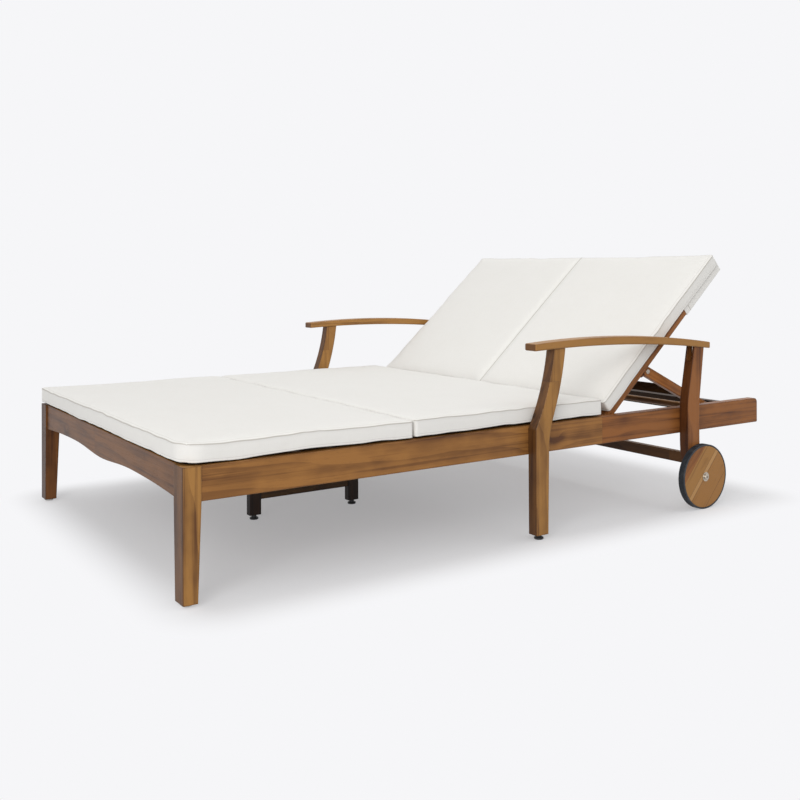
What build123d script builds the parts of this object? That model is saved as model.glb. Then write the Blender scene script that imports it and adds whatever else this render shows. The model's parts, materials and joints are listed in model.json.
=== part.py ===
from build123d import *
import math
import os

# Double chaise lounger: a low slatted hardwood frame on two wheels, with arms, a back that reclines on a
# propped rack, two seat cushions and a back cushion with a fabric hood.
# Millimetres. +X is the right side seen from the foot end, +Y runs from foot to head, +Z is up.
# The origin is on the floor, in the middle of the overall width and length.

# Overall frame
overall_length = 2000.0
frame_width = 1236.0
deck_height = 310.0

# Side rails
rail_depth = 79.0
rail_thickness = 29.0
rail_tail_radius = 13.0
rail_tail_low_radius = 4.0
rail_edge_radius = 2.5

# Front legs
leg_width = 56.0
leg_depth = 43.0
leg_foot_width = 49.0
leg_foot_depth = 34.5
leg_edge_radius = 4.0

# Front apron, whose lower edge waves: shares of the half width, and of the rise
apron_thickness = 24.0
apron_setback = 5.0
apron_end_depth = 77.5
apron_rise = 10.5
apron_edge_radius = 2.0
apron_wave_shares = [(0.76, 0.72), (0.55, 1.0), (0.34, 0.93), (0.17, 0.38)]

# Glides under the front legs
glide_diameter = 26.0
glide_height = 7.0
glide_edge = 1.5
glide_pin_diameter = 4.0
glide_pin_length = 16.0

# Levelling feet under the arm posts and the centre legs
foot_diameter = 26.0
foot_disc_height = 6.0
foot_edge = 1.2
foot_collar_diameter = 15.0
foot_collar_height = 7.6
foot_stem_diameter = 8.0
foot_stem_length = 38.0
foot_stop_gap = 0.2

# Posts, outside the side rails
post_thickness = 34.0
post_edge_radius = 3.0

# Arm posts, and where their rear edge bends, as shares of the sweep and of the rise above the kink
arm_post_to_hinge = 346.0
arm_post_rail_width = 48.5
arm_post_foot_width = 44.0
arm_post_foot_shift = 1.5
arm_post_top_width = 42.0
arm_post_top_sweep = 70.0
arm_post_top_lean = 5.5
arm_post_kink = 7.0
arm_post_rear_shares = (0.28, 0.145)

# Rear posts, measured forward from the tail
rear_post_from_tail = 386.0
rear_post_rail_width = 54.5
rear_post_top_width = 43.5
rear_post_foot_width = 52.0
rear_post_top_sweep = 34.0
rear_post_foot_sweep = 33.0
rear_post_waist_rise = 17.0
rear_post_bottom = 62.0
rear_post_waist_radius = 220.0
rear_post_bend_drop = 110.0

# Armrests
arm_width = 46.0
arm_front_overhang = 77.0
arm_rear_overhang = 22.0
arm_front_height = 527.0
arm_rear_height = 501.5
arm_arch = 17.5
arm_end_thickness = 19.5
arm_middle_thickness = 23.5
arm_plan_radius = 6.0
arm_edge_radius = 3.5

# Bolts from the posts up into the armrests, in pockets open at the top
arm_bolt_diameter = 6.0
arm_bolt_head_diameter = 12.0
arm_bolt_head_height = 5.0
arm_bolt_reach = 12.0
arm_pocket_width = 19.0
arm_pocket_depth = 17.0
arm_pocket_drop = 38.0

# Bolts through the side rails into the posts
post_bolt_diameter = 8.0
post_bolt_head_diameter = 16.0
post_bolt_head_height = 5.0
post_bolt_reach = 20.0
post_bolt_inset = 21.0

# Cross members
tail_rail_from_tail = 15.0
tail_rail_thickness = 25.0
tail_rail_depth = 45.0
tail_rail_gap = 0.4
stretcher_height = 135.0
stretcher_depth = 33.0
stretcher_thickness = 22.0
mid_rail_thickness = 28.0
mid_rail_depth = 60.0
mid_rail_to_hinge = 22.0
cross_edge_radius = 2.0

# Centre beam, legs and stretcher
beam_width = 24.0
beam_depth = 50.0
centre_leg_width = 24.0
centre_leg_depth = 37.0
centre_leg_front_from_foot = 460.5
centre_leg_rear_from_foot = 798.5
centre_stretcher_height = 58.0
centre_stretcher_depth = 38.0
centre_stretcher_width = 18.0

# Seat ledgers and slats
ledger_width = 20.0
ledger_depth = 30.0
seat_slat_pitch = 94.0
seat_slat_width = 65.0
seat_slat_thickness = 18.0
slat_edge_radius = 2.0
slat_end_gap = 0.3

# Wheels
wheel_radius = 99.0
wheel_thickness = 22.0
wheel_chamfer = 1.2
wheel_from_tail = 335.5
wheel_post_gap = 2.0
tyre_thickness = 4.6
tyre_shoulder = 1.4
tyre_groove_depth = 1.1
tyre_groove_width = 2.4
tyre_groove_count = 4
axle_diameter = 10.0
axle_reach = 22.0
hub_washer_diameter = 28.0
hub_washer_thickness = 1.8
hub_gap = 0.3
hub_head_diameter = 18.0
hub_head_height = 5.0
hub_socket_width = 7.0
hub_socket_depth = 2.6

# Back frame, along from the hinge and outwards from its mid thickness
hinge_from_tail = 661.0
rest_recline = 41.5
back_thickness = 21.0
back_side_gap = 4.0
back_tail_overhang = 12.0
back_stile_width = 54.0
back_heel = 13.0
back_rail_width = 55.0
back_slat_pitch = 80.0
back_slat_width = 60.0
back_slat_thickness = 14.0
back_batten_width = 40.0
back_edge_radius = 3.0
back_deck_proud = 0.2

# Back hinge pins and spacer washers
hinge_pin_diameter = 10.0
hinge_pin_in_rail = 20.0
hinge_pin_in_stile = 40.0
hinge_washer_diameter = 19.0
hinge_washer_gap = 0.3

# Prop frame
prop_along = 219.0
prop_below = 29.7
prop_bar_from_tail = 117.0
prop_bar_rest_depth = 27.4
prop_arm_depth = 31.0
prop_arm_thickness = 19.0
prop_arm_rack_gap = 3.0
prop_board_along = 172.0
prop_board_thickness = 20.0
prop_edge_radius = 2.0
prop_bar_diameter = 20.0
prop_bar_end_gap = 3.0
prop_block_length = 46.0
prop_block_below = 13.0
prop_block_gap = 0.3
prop_bolt_diameter = 8.0
prop_bolt_head_diameter = 15.0
prop_bolt_head_height = 2.6
prop_bolt_nut_width = 13.0
prop_bolt_nut_height = 5.0

# Notched racks
rack_thickness = 14.0
rack_depth = 50.0
rack_crest_gap = 0.6
rack_notch_depth = 6.5
rack_notch_gap = 0.5
rack_front_margin = 24.0
rack_rear_margin = 12.0
rack_screw_diameter = 4.5
rack_screw_head_diameter = 9.0
rack_screw_head_height = 2.0
rack_screw_reach = 12.0
rack_screw_rise = 14.0
rack_screw_shares = [0.08, 0.5, 0.92]
notch_recline_angles = [56.0, 48.5, 41.5, 31.0]
rack_start_recline = 60.0
rack_ramp_recline = 24.0

# Cushions
cushion_seat_gap = 0.3
cushion_edge_height = 40.0
cushion_crown = 14.0
cushion_corner = 26.0
cushion_side_draw = 4.0
cushion_under_draw = 6.0
cushion_bulge = 1.6
cushion_half_width = 614.0
cushion_foot_setback = 4.0
cushion_joint_gap = 5.0
foot_cushion_share = 0.477
seat_cushion_hinge_gap = 54.0
back_cushion_half_width = 596.0
back_cushion_heel = 6.0
back_cushion_edge_height = 38.0
back_cushion_channel = 9.0
cushion_end_share = 0.88
cushion_station_shares = [(0.0, 1.0, 0.05), (0.3, 0.3, 0.12), (1.0, 0.0, 0.35)]
cushion_span_shares = [(0.25, 0.9, 0.92), (0.5, 1.0, 1.0), (0.75, 0.9, 0.92)]

# Hood over the top of the back frame
hood_length = 215.0
hood_wall = 1.6
hood_gap = 0.3

# Shared clearances
run_clearance = 0.08
fit_clearance = 0.05
overrun = 10.0
hexagon_sides = 6

# Places that follow from the sizes above
foot_y = -overall_length / 2
tail_y = overall_length / 2
rail_outer_x = frame_width / 2
rail_inner_x = rail_outer_x - rail_thickness
rail_bottom_z = deck_height - rail_depth
leg_inner_x = rail_outer_x - leg_width
leg_back_y = foot_y + leg_depth
apron_back_y = foot_y + apron_setback + apron_thickness
post_outer_x = rail_outer_x + post_thickness
post_middle_x = rail_outer_x + post_thickness / 2
sole_z = foot_disc_height + foot_collar_height + foot_stop_gap
slat_bottom_z = deck_height - seat_slat_thickness
hinge_y = tail_y - hinge_from_tail
hinge_z = deck_height - back_thickness / 2 + back_deck_proud
mid_rail_back_y = hinge_y - mid_rail_to_hinge
mid_rail_front_y = mid_rail_back_y - mid_rail_thickness
beam_bottom_z = slat_bottom_z - beam_depth
arm_post_y = hinge_y - arm_post_to_hinge
rear_post_y = tail_y - rear_post_from_tail
wheel_y = tail_y - wheel_from_tail
wheel_inner_x = post_outer_x + wheel_post_gap
wheel_outer_x = wheel_inner_x + wheel_thickness
arm_inner_x = post_middle_x - arm_width / 2
arm_outer_x = post_middle_x + arm_width / 2
arm_front_y = arm_post_y + arm_post_top_sweep - arm_front_overhang
arm_rear_y = rear_post_y + rear_post_top_sweep + rear_post_top_width + arm_rear_overhang
arm_crest_y = (arm_front_y + arm_rear_y) / 2
arm_crest_z = (arm_front_height + arm_rear_height) / 2 + arm_arch
back_outer_x = rail_inner_x - back_side_gap
back_inner_x = back_outer_x - back_stile_width
back_half = back_thickness / 2
back_length = hinge_from_tail + back_tail_overhang
slat_back_n = back_half - back_slat_thickness
rack_inner_x = rail_inner_x - rack_thickness
prop_outer_x = rack_inner_x - prop_arm_rack_gap
prop_inner_x = prop_outer_x - prop_arm_thickness
bar_radius = prop_bar_diameter / 2
prop_length = hinge_from_tail - prop_along - prop_bar_from_tail


def block(x0, x1, y0, y1, z0, z1):
    """A square-edged piece between two opposite corners."""
    return Pos((x0 + x1) / 2, (y0 + y1) / 2, (z0 + z1) / 2) * Box(x1 - x0, y1 - y0, z1 - z0)


def eased(piece, radius, axis):
    """Round the edges of a piece that run along one axis."""
    return fillet(piece.edges().filter_by(axis), radius)


def side_plate(outline, x0, x1):
    """A board with an outline drawn in (Y, Z), between two X faces."""
    return Pos(x0, 0, 0) * extrude(Plane.YZ * make_face(outline), amount=x1 - x0)


def front_plate(outline, y0, y1):
    """A board with an outline drawn in (X, Z), between two Y faces."""
    return Pos(0, y1, 0) * extrude(Plane.XZ * make_face(outline), amount=y1 - y0)


def rod_x(diameter, x0, x1, y, z):
    """A round bar along X."""
    return Pos((x0 + x1) / 2, y, z) * Rot(0, 90, 0) * Cylinder(diameter / 2, x1 - x0)


def rod_z(diameter, x, y, z0, z1):
    """A round bar along Z."""
    return Pos(x, y, (z0 + z1) / 2) * Cylinder(diameter / 2, z1 - z0)


def mirrored(piece):
    """The same piece on the left side."""
    return mirror(piece, about=Plane.YZ)


def group(pieces):
    """Like pieces as one node of separate solids."""
    return Compound(children=[solid for piece in pieces for solid in piece.solids()])


def pair(piece):
    """The right and the left copy as one group."""
    return group([piece, mirrored(piece)])


def largest(piece):
    """The biggest solid that a cut leaves."""
    return max(piece.solids(), key=lambda solid: solid.volume)


# Armrests and posts

def armrest():
    """The right armrest: an arch in side view, thickest in the middle, with round ends and eased edges."""
    half_end = arm_end_thickness / 2
    half_middle = arm_middle_thickness / 2
    top = ThreePointArc(
        (arm_front_y, arm_front_height + half_end),
        (arm_crest_y, arm_crest_z + half_middle),
        (arm_rear_y, arm_rear_height + half_end),
    )
    bottom = ThreePointArc(
        (arm_rear_y, arm_rear_height - half_end),
        (arm_crest_y, arm_crest_z - half_middle),
        (arm_front_y, arm_front_height - half_end),
    )
    rear = Line(top @ 1, bottom @ 0)
    front = Line(bottom @ 1, top @ 0)
    board = side_plate(top + rear + bottom + front, arm_inner_x, arm_outer_x)
    board = eased(board, arm_plan_radius, Axis.Z)
    by_height = board.faces().sort_by(Axis.Z)
    return fillet(by_height[-1].edges() + by_height[0].edges(), arm_edge_radius)


def swept(start, points, lean):
    """An edge that goes down from its start, leaning by an angle in degrees, through points in (Y, Z) as
    arcs, each tangent to the one before."""
    heading = (-math.sin(math.radians(lean)), -math.cos(math.radians(lean)))
    arcs = []
    for point in points:
        arc = TangentArc(start, point, tangent=heading)
        arcs.append(arc)
        start = arc @ 1
        heading = arc % 1
    return arcs


def arm_post_board():
    """The right arm post: straight up to a kink at the rail, then a saber curve back to the armrest."""
    kink_z = deck_height - arm_post_kink
    top_z = arm_front_height + arm_end_thickness / 2
    rise = top_z - kink_z
    rear_y = arm_post_y + arm_post_rail_width
    rear_sweep = arm_post_top_sweep + arm_post_top_width - arm_post_rail_width
    sole_y = arm_post_y + arm_post_foot_shift
    top = Line((arm_post_y + arm_post_top_sweep, top_z), (rear_y + rear_sweep, top_z))
    across, up = arm_post_rear_shares
    rear_bend = (rear_y + rear_sweep * across, kink_z + rise * up)
    front_high = swept(top @ 0, [(arm_post_y, kink_z)], arm_post_top_lean)
    rear_high = swept(top @ 1, [rear_bend, (rear_y, rail_bottom_z)], arm_post_top_lean)
    sole = Line((sole_y, sole_z), (sole_y + arm_post_foot_width, sole_z))
    front_low = Line(front_high[-1] @ 1, sole @ 0)
    rear_low = Line(rear_high[-1] @ 1, sole @ 1)
    return side_plate(top + front_high + front_low + sole + rear_low + rear_high, rail_outer_x, post_outer_x)


def rear_post_board():
    """The right rear post: upright at the rail, leaning back to the armrest, swept down to the wheel."""
    waist_z = deck_height + rear_post_waist_rise
    bend_z = waist_z - rear_post_bend_drop
    rear_y = rear_post_y + rear_post_rail_width
    top_y = rear_post_y + rear_post_top_sweep
    top_z = arm_rear_height + arm_end_thickness / 2
    sole_y = rear_post_y + rear_post_foot_sweep
    top = Line((top_y, top_z), (top_y + rear_post_top_width, top_z))
    sole = Line((sole_y, rear_post_bottom), (sole_y + rear_post_foot_width, rear_post_bottom))
    front_high = Line(top @ 0, (rear_post_y, waist_z))
    front_middle = Line(front_high @ 1, (rear_post_y, bend_z))
    front_low = swept(front_middle @ 1, [sole @ 0], 0)
    rear_high = Line(top @ 1, (rear_y, waist_z))
    rear_middle = Line(rear_high @ 1, (rear_y, bend_z))
    rear_low = swept(rear_middle @ 1, [sole @ 1], 0)
    outline = top + front_high + front_middle + front_low + sole + rear_low + rear_middle + rear_high
    board = side_plate(outline, rail_outer_x, post_outer_x)
    waist = board.edges().filter_by(Axis.X).group_by(Axis.Z)[-2]
    return fillet(waist, rear_post_waist_radius)


def post_bolt_places(y):
    """Two bolts, one above the other, where a post crosses the side rail."""
    return [(y, deck_height - post_bolt_inset), (y, rail_bottom_z + post_bolt_inset)]


arm_post_bolts = post_bolt_places(arm_post_y + arm_post_rail_width / 2)
rear_post_bolts = post_bolt_places(rear_post_y + rear_post_rail_width / 2)
post_bolt_seat_x = rail_inner_x + post_bolt_head_height + fit_clearance


def post_bolt(y, z):
    """A bolt with a flat head sunk into the inside of the rail."""
    shank = rod_x(post_bolt_diameter, post_bolt_seat_x, rail_outer_x + post_bolt_reach, y, z)
    head = rod_x(post_bolt_head_diameter, rail_inner_x + fit_clearance, post_bolt_seat_x, y, z)
    return shank + head


def post_bolt_hole(y, z):
    """The stepped hole for one post bolt."""
    wide = post_bolt_head_diameter + 2 * fit_clearance
    narrow = post_bolt_diameter + 2 * fit_clearance
    head = rod_x(wide, rail_inner_x - overrun, post_bolt_seat_x, y, z)
    shank = rod_x(narrow, rail_inner_x, rail_outer_x + post_bolt_reach + fit_clearance, y, z)
    return head + shank


def arm_pocket(face_y, inward, top_z):
    """A round-bottomed slot, open at the top, let into the front or rear face of a post."""
    bottom_z = top_z - arm_pocket_drop + arm_pocket_width / 2
    y0, y1 = sorted([face_y - inward * arm_pocket_depth, face_y + inward * arm_pocket_depth])
    half = arm_pocket_width / 2
    slot = block(post_middle_x - half, post_middle_x + half, y0, y1, bottom_z, top_z + arm_pocket_drop)
    end = Pos(post_middle_x, (y0 + y1) / 2, bottom_z) * Rot(90, 0, 0) * Cylinder(half, y1 - y0)
    return slot + end


def arm_bolt(y, top_z):
    """A bolt that stands on its head in the pocket and runs up into the armrest."""
    z0 = top_z - arm_pocket_drop + arm_pocket_width / 2
    head = rod_z(arm_bolt_head_diameter, post_middle_x, y, z0, z0 + arm_bolt_head_height)
    shank = rod_z(arm_bolt_diameter, post_middle_x, y, z0, top_z + arm_bolt_reach)
    return head + shank


def bored(piece, tools):
    """A piece less a list of cutting shapes."""
    for tool in tools:
        piece = piece - tool
    return piece


arm_board = armrest()
arm_post_top_z = arm_front_height - arm_end_thickness / 2
rear_post_top_z = arm_rear_height - arm_end_thickness / 2
arm_post_pocket_y = arm_post_y + arm_post_top_sweep + arm_post_top_width
rear_post_pocket_y = rear_post_y + rear_post_top_sweep
arm_post_bolt_y = arm_post_pocket_y - arm_pocket_depth / 2
rear_post_bolt_y = rear_post_pocket_y + arm_pocket_depth / 2
arm_bolts = [arm_bolt(arm_post_bolt_y, arm_post_top_z), arm_bolt(rear_post_bolt_y, rear_post_top_z)]
arm_bolt_holes = []
for hole_y, hole_z in [(arm_post_bolt_y, arm_post_top_z), (rear_post_bolt_y, rear_post_top_z)]:
    arm_bolt_holes.append(
        rod_z(arm_bolt_diameter + 2 * fit_clearance, post_middle_x, hole_y, hole_z - overrun,
              hole_z + arm_bolt_reach + fit_clearance)
    )

foot_stem_hole_diameter = foot_stem_diameter + 2 * run_clearance
foot_stem_top = foot_disc_height + foot_stem_length


def stem_hole(x, y):
    """The bore in a leg's end grain that takes a levelling foot's stem."""
    return rod_z(foot_stem_hole_diameter, x, y, sole_z - overrun, foot_stem_top + foot_stop_gap)


def finished_post(board):
    """Ease the long edges of a post's two faces and cut it to the underside of the armrest."""
    rims = []
    for face in (board.faces().sort_by(Axis.X)[0], board.faces().sort_by(Axis.X)[-1]):
        rims += face.edges().sort_by(Axis.Z)[1:-1]
    return largest(fillet(rims, post_edge_radius) - arm_board)


arm_post_foot_y = arm_post_y + arm_post_foot_shift + arm_post_foot_width / 2
arm_post = bored(
    finished_post(arm_post_board()),
    [post_bolt_hole(y, z) for y, z in arm_post_bolts]
    + [arm_pocket(arm_post_pocket_y, -1, arm_post_top_z), stem_hole(post_middle_x, arm_post_foot_y)],
)

axle_z = wheel_radius
axle_inner_x = post_outer_x - axle_reach
axle_hole_inner_x = axle_inner_x - fit_clearance
axle_hole_outer_x = post_outer_x + overrun
axle_hole = rod_x(axle_diameter + 2 * fit_clearance, axle_hole_inner_x, axle_hole_outer_x, wheel_y, axle_z)
rear_post = bored(
    finished_post(rear_post_board()),
    [post_bolt_hole(y, z) for y, z in rear_post_bolts]
    + [arm_pocket(rear_post_pocket_y, 1, rear_post_top_z), axle_hole],
)
arm_board = bored(arm_board, arm_bolt_holes)


# Front legs, apron and side rails

def front_leg():
    """The right front leg: plumb outer faces, and inner faces that taper below the apron."""
    taper_z = deck_height - apron_end_depth
    side = Polyline(
        (foot_y, glide_height),
        (foot_y, deck_height),
        (leg_back_y, deck_height),
        (leg_back_y, rail_bottom_z),
        (foot_y + leg_foot_depth, glide_height),
        close=True,
    )
    face = Polyline(
        (rail_outer_x, glide_height),
        (rail_outer_x, deck_height),
        (leg_inner_x, deck_height),
        (leg_inner_x, taper_z),
        (rail_outer_x - leg_foot_width, glide_height),
        close=True,
    )
    leg = side_plate(side, leg_inner_x, rail_outer_x) & front_plate(face, foot_y, leg_back_y)
    outer = leg.edges().filter_by(Axis.Z).sort_by(Axis.Y)[:2]
    leg = fillet(outer.sort_by(Axis.X)[-1:], leg_edge_radius)
    pin_hole = rod_z(glide_pin_diameter + 2 * fit_clearance, glide_x, glide_y, 0,
                     glide_height + glide_pin_length + fit_clearance)
    return leg - pin_hole


glide_x = rail_outer_x - leg_foot_width / 2
glide_y = foot_y + leg_foot_depth / 2


def glide():
    """A round glide nailed under a front leg."""
    disc = Pos(glide_x, glide_y, glide_height / 2) * Cylinder(glide_diameter / 2, glide_height)
    disc = chamfer(disc.edges().sort_by(Axis.Z)[:1], glide_edge)
    return disc + rod_z(glide_pin_diameter, glide_x, glide_y, glide_height, glide_height + glide_pin_length)


def front_apron():
    """The board between the front legs, with its waved lower edge."""
    end_z = deck_height - apron_end_depth
    right = [(leg_inner_x * across, end_z + apron_rise * up) for across, up in apron_wave_shares]
    left = [(-x, z) for x, z in reversed(right)]
    wave = Spline((leg_inner_x, end_z), *right, (0, end_z), *left, (-leg_inner_x, end_z))
    edge = Polyline(wave @ 1, (-leg_inner_x, deck_height), (leg_inner_x, deck_height), wave @ 0)
    board = front_plate(wave + edge, foot_y + apron_setback, apron_back_y)
    front_rim = board.faces().sort_by(Axis.Y)[0].edges()
    long_edges = front_rim.filter_by(GeomType.BSPLINE) + front_rim.filter_by(Axis.X)
    return fillet(long_edges, apron_edge_radius)


def side_rail():
    """The right side rail, from the front leg to its rounded tail, bored for its fasteners."""
    board = block(rail_inner_x, rail_outer_x, leg_back_y, tail_y, rail_bottom_z, deck_height)
    tail = board.edges().filter_by(Axis.X).group_by(Axis.Y)[-1].sort_by(Axis.Z)
    board = fillet(tail[-1:], rail_tail_radius)
    low = board.edges().filter_by(Axis.X).sort_by(Axis.Z)[:2].sort_by(Axis.Y)[-1:]
    board = fillet(low, rail_tail_low_radius)
    outer_rim = board.faces().sort_by(Axis.X)[-1].edges()
    inner_rim = board.faces().sort_by(Axis.X)[0].edges()
    rims = outer_rim.filter_by(Axis.Z, reverse=True) + inner_rim.filter_by(Axis.Z, reverse=True)
    board = fillet(rims, rail_edge_radius)
    pin_hole = rod_x(hinge_pin_diameter + 2 * fit_clearance, rail_inner_x - overrun,
                     rail_inner_x + hinge_pin_in_rail + fit_clearance, hinge_y, hinge_z)
    holes = [post_bolt_hole(y, z) for y, z in arm_post_bolts + rear_post_bolts]
    return bored(board, holes + [pin_hole] + rack_screw_holes)


def cross_board(y0, y1, z0, z1, half_width):
    """A board across the frame with eased long edges."""
    return eased(block(-half_width, half_width, y0, y1, z0, z1), cross_edge_radius, Axis.X)


# Linkage of the back, the prop and the rack, at any recline angle above flat

def swung(angle, along_frame, off_frame):
    """A point of the back frame, in (Y, Z), with the back at this recline angle in degrees."""
    turn = math.radians(angle)
    y = hinge_y + along_frame * math.cos(turn) - off_frame * math.sin(turn)
    z = hinge_z + along_frame * math.sin(turn) + off_frame * math.cos(turn)
    return y, z


rest_pivot_z = swung(rest_recline, prop_along, -prop_below)[1]
rest_bar_z = deck_height - prop_bar_rest_depth
prop_rest_drop = math.degrees(math.asin((rest_pivot_z - rest_bar_z) / prop_length))
prop_turn_ratio = (rest_recline + prop_rest_drop) / rest_recline


def bar_centre(angle):
    """The centre of the prop's foot bar, in (Y, Z), with the back at this recline angle in degrees."""
    y, z = swung(angle, prop_along, -prop_below)
    tilt = math.radians(angle - prop_turn_ratio * angle)
    return y + prop_length * math.cos(tilt), z + prop_length * math.sin(tilt)


def prop_rack():
    """The right rack: a crest just under the bar's path, a notch for each position, and a ramp to flat."""
    start_y = bar_centre(rack_start_recline)[0] - rack_front_margin
    under = bar_radius + rack_crest_gap
    start_z = bar_centre(rack_start_recline)[1] - under
    crest = [(start_y, start_z)]
    for angle in [rack_start_recline] + notch_recline_angles + [rack_ramp_recline]:
        y, z = bar_centre(angle)
        crest.append((y, z - under))
    flat_y, flat_z = bar_centre(0)
    crest.append((flat_y - bar_radius, flat_z - under))
    crest.append((flat_y + bar_radius + rack_rear_margin, flat_z - under))
    floor = [(crest[-1][0], rack_floor_z), (start_y, rack_floor_z)]
    board = side_plate(Polyline(*crest, *floor, close=True), rack_inner_x, rail_inner_x)
    notch_radius = bar_radius + rack_notch_gap
    for angle in notch_recline_angles:
        y, z = bar_centre(angle)
        notch_z = z - under - rack_notch_depth + notch_radius
        board = board - rod_x(2 * notch_radius, rack_inner_x - overrun, rail_inner_x + overrun, y, notch_z)
    return bored(board, rack_screw_holes)


rack_floor_z = bar_centre(rest_recline)[1] - rack_depth
rack_start_y = bar_centre(rack_start_recline)[0] - rack_front_margin
rack_end_y = bar_centre(0)[0] + bar_radius + rack_rear_margin
rack_screw_places = []
for place_share in rack_screw_shares:
    rack_screw_places.append(rack_start_y + (rack_end_y - rack_start_y) * place_share)
rack_screw_z = rack_floor_z + rack_screw_rise
rack_screw_seat_x = rack_inner_x + rack_screw_head_height + fit_clearance
rack_screw_tip_x = rail_inner_x + rack_screw_reach


def rack_screw(y):
    """A flat-headed screw sunk into the rack and driven into the side rail."""
    face_x = rack_inner_x + fit_clearance
    shank = rod_x(rack_screw_diameter, rack_screw_seat_x, rack_screw_tip_x, y, rack_screw_z)
    return shank + rod_x(rack_screw_head_diameter, face_x, rack_screw_seat_x, y, rack_screw_z)


def rack_screw_hole(y):
    """The stepped hole for one rack screw."""
    wide = rack_screw_head_diameter + 2 * fit_clearance
    narrow = rack_screw_diameter + 2 * fit_clearance
    head = rod_x(wide, rack_inner_x - overrun, rack_screw_seat_x, y, rack_screw_z)
    return head + rod_x(narrow, rack_inner_x, rack_screw_tip_x + fit_clearance, y, rack_screw_z)


rack_screw_holes = [rack_screw_hole(y) for y in rack_screw_places]


# Wheels

def wheel_disc():
    """The right wheel: a flat wooden disc with chamfered rims and a bore for the axle."""
    rim = wheel_radius - tyre_thickness - fit_clearance
    disc = rod_x(2 * rim, wheel_inner_x, wheel_outer_x, wheel_y, axle_z)
    disc = chamfer(disc.edges().filter_by(GeomType.CIRCLE), wheel_chamfer)
    bore_diameter = axle_diameter + 2 * run_clearance
    return disc - rod_x(bore_diameter, wheel_inner_x - overrun, wheel_outer_x + overrun, wheel_y, axle_z)


def tyre():
    """The right tyre: a thin rubber band with round shoulders and shallow grooves round its tread."""
    band = Rectangle(wheel_thickness, tyre_thickness, align=(Align.MIN, Align.MAX))
    band = Pos(wheel_inner_x, wheel_radius) * band
    top_corners = band.vertices().sort_by(Axis.Y)[-2:]
    band = fillet(top_corners, tyre_shoulder)
    step = wheel_thickness / (tyre_groove_count + 1)
    for number in range(tyre_groove_count):
        groove_x = wheel_inner_x + step * (number + 1)
        band = band - Pos(groove_x, wheel_radius) * Rectangle(tyre_groove_width, 2 * tyre_groove_depth)
    ring = revolve(Plane.XY * band, Axis.X)
    return Pos(0, wheel_y, axle_z) * ring


def axle_bolt():
    """The right axle: a shank set in the post, a washer outside the wheel, a domed head with a socket."""
    washer_x = wheel_outer_x + hub_gap
    head_x = washer_x + hub_washer_thickness
    cap_x = head_x + hub_head_height
    shank = rod_x(axle_diameter, axle_inner_x, head_x, wheel_y, axle_z)
    washer = rod_x(hub_washer_diameter, washer_x, head_x, wheel_y, axle_z)
    head = rod_x(hub_head_diameter, head_x, cap_x, wheel_y, axle_z)
    rim = head.edges().filter_by(GeomType.CIRCLE).sort_by(Axis.X)[-1:]
    head = fillet(rim, hub_head_height / 2)
    socket_plane = Plane(origin=(cap_x, wheel_y, axle_z), z_dir=(-1, 0, 0))
    socket_outline = RegularPolygon(hub_socket_width / 2, hexagon_sides)
    socket = extrude(socket_plane * socket_outline, amount=hub_socket_depth)
    return shank + washer + head - socket


def axle_washer():
    """The spacer between the post and the wheel."""
    washer = rod_x(hub_washer_diameter, post_outer_x, wheel_inner_x - hub_gap, wheel_y, axle_z)
    return washer - rod_x(axle_diameter + 2 * fit_clearance, post_outer_x, wheel_inner_x, wheel_y, axle_z)


# Levelling feet and centre legs

def levelling_foot(x, y):
    """A round foot with a collar that stops against the leg, on a stem that screws up into it."""
    disc = Pos(x, y, foot_disc_height / 2) * Cylinder(foot_diameter / 2, foot_disc_height)
    disc = chamfer(disc.edges().filter_by(GeomType.CIRCLE), foot_edge)
    collar = rod_z(foot_collar_diameter, x, y, foot_disc_height, foot_disc_height + foot_collar_height)
    return disc + collar + rod_z(foot_stem_diameter, x, y, foot_disc_height, foot_stem_top)


def centre_leg(y):
    """A leg under the centre beam."""
    half_width = centre_leg_width / 2
    half_depth = centre_leg_depth / 2
    leg = block(-half_width, half_width, y - half_depth, y + half_depth, sole_z, beam_bottom_z)
    return eased(leg, cross_edge_radius, Axis.Z) - stem_hole(0, y)


centre_leg_front_y = foot_y + centre_leg_front_from_foot
centre_leg_rear_y = foot_y + centre_leg_rear_from_foot


def centre_stretcher():
    """The low board between the two centre legs."""
    half_width = centre_stretcher_width / 2
    y0 = centre_leg_front_y + centre_leg_depth / 2
    y1 = centre_leg_rear_y - centre_leg_depth / 2
    top_z = centre_stretcher_height + centre_stretcher_depth
    board = block(-half_width, half_width, y0, y1, centre_stretcher_height, top_z)
    return eased(board, cross_edge_radius, Axis.Y)


# Seat slats

def seat_slats():
    """The slats across the seat, evenly spaced between the apron and the hinge."""
    span = mid_rail_back_y - apron_back_y - slat_end_gap - seat_slat_width
    gaps = round(span / seat_slat_pitch)
    step = span / gaps
    half = rail_inner_x - slat_end_gap
    slats = []
    for number in range(gaps + 1):
        y0 = apron_back_y + slat_end_gap + step * number
        front_of_leg = y0 < leg_back_y
        reach = leg_inner_x - slat_end_gap if front_of_leg else half
        slat = block(-reach, reach, y0, y0 + seat_slat_width, slat_bottom_z, deck_height)
        slats.append(fillet(slat.edges().filter_by(Axis.X).group_by(Axis.Z)[-1], slat_edge_radius))
    return group(slats)


# Back frame, drawn lying flat with its hinge on the X axis, then lifted to the recline of the photograph

def at_rest(piece):
    """Lift a piece of the back from flat to its rest recline."""
    return Pos(0, hinge_y, hinge_z) * Rot(rest_recline, 0, 0) * piece


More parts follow.
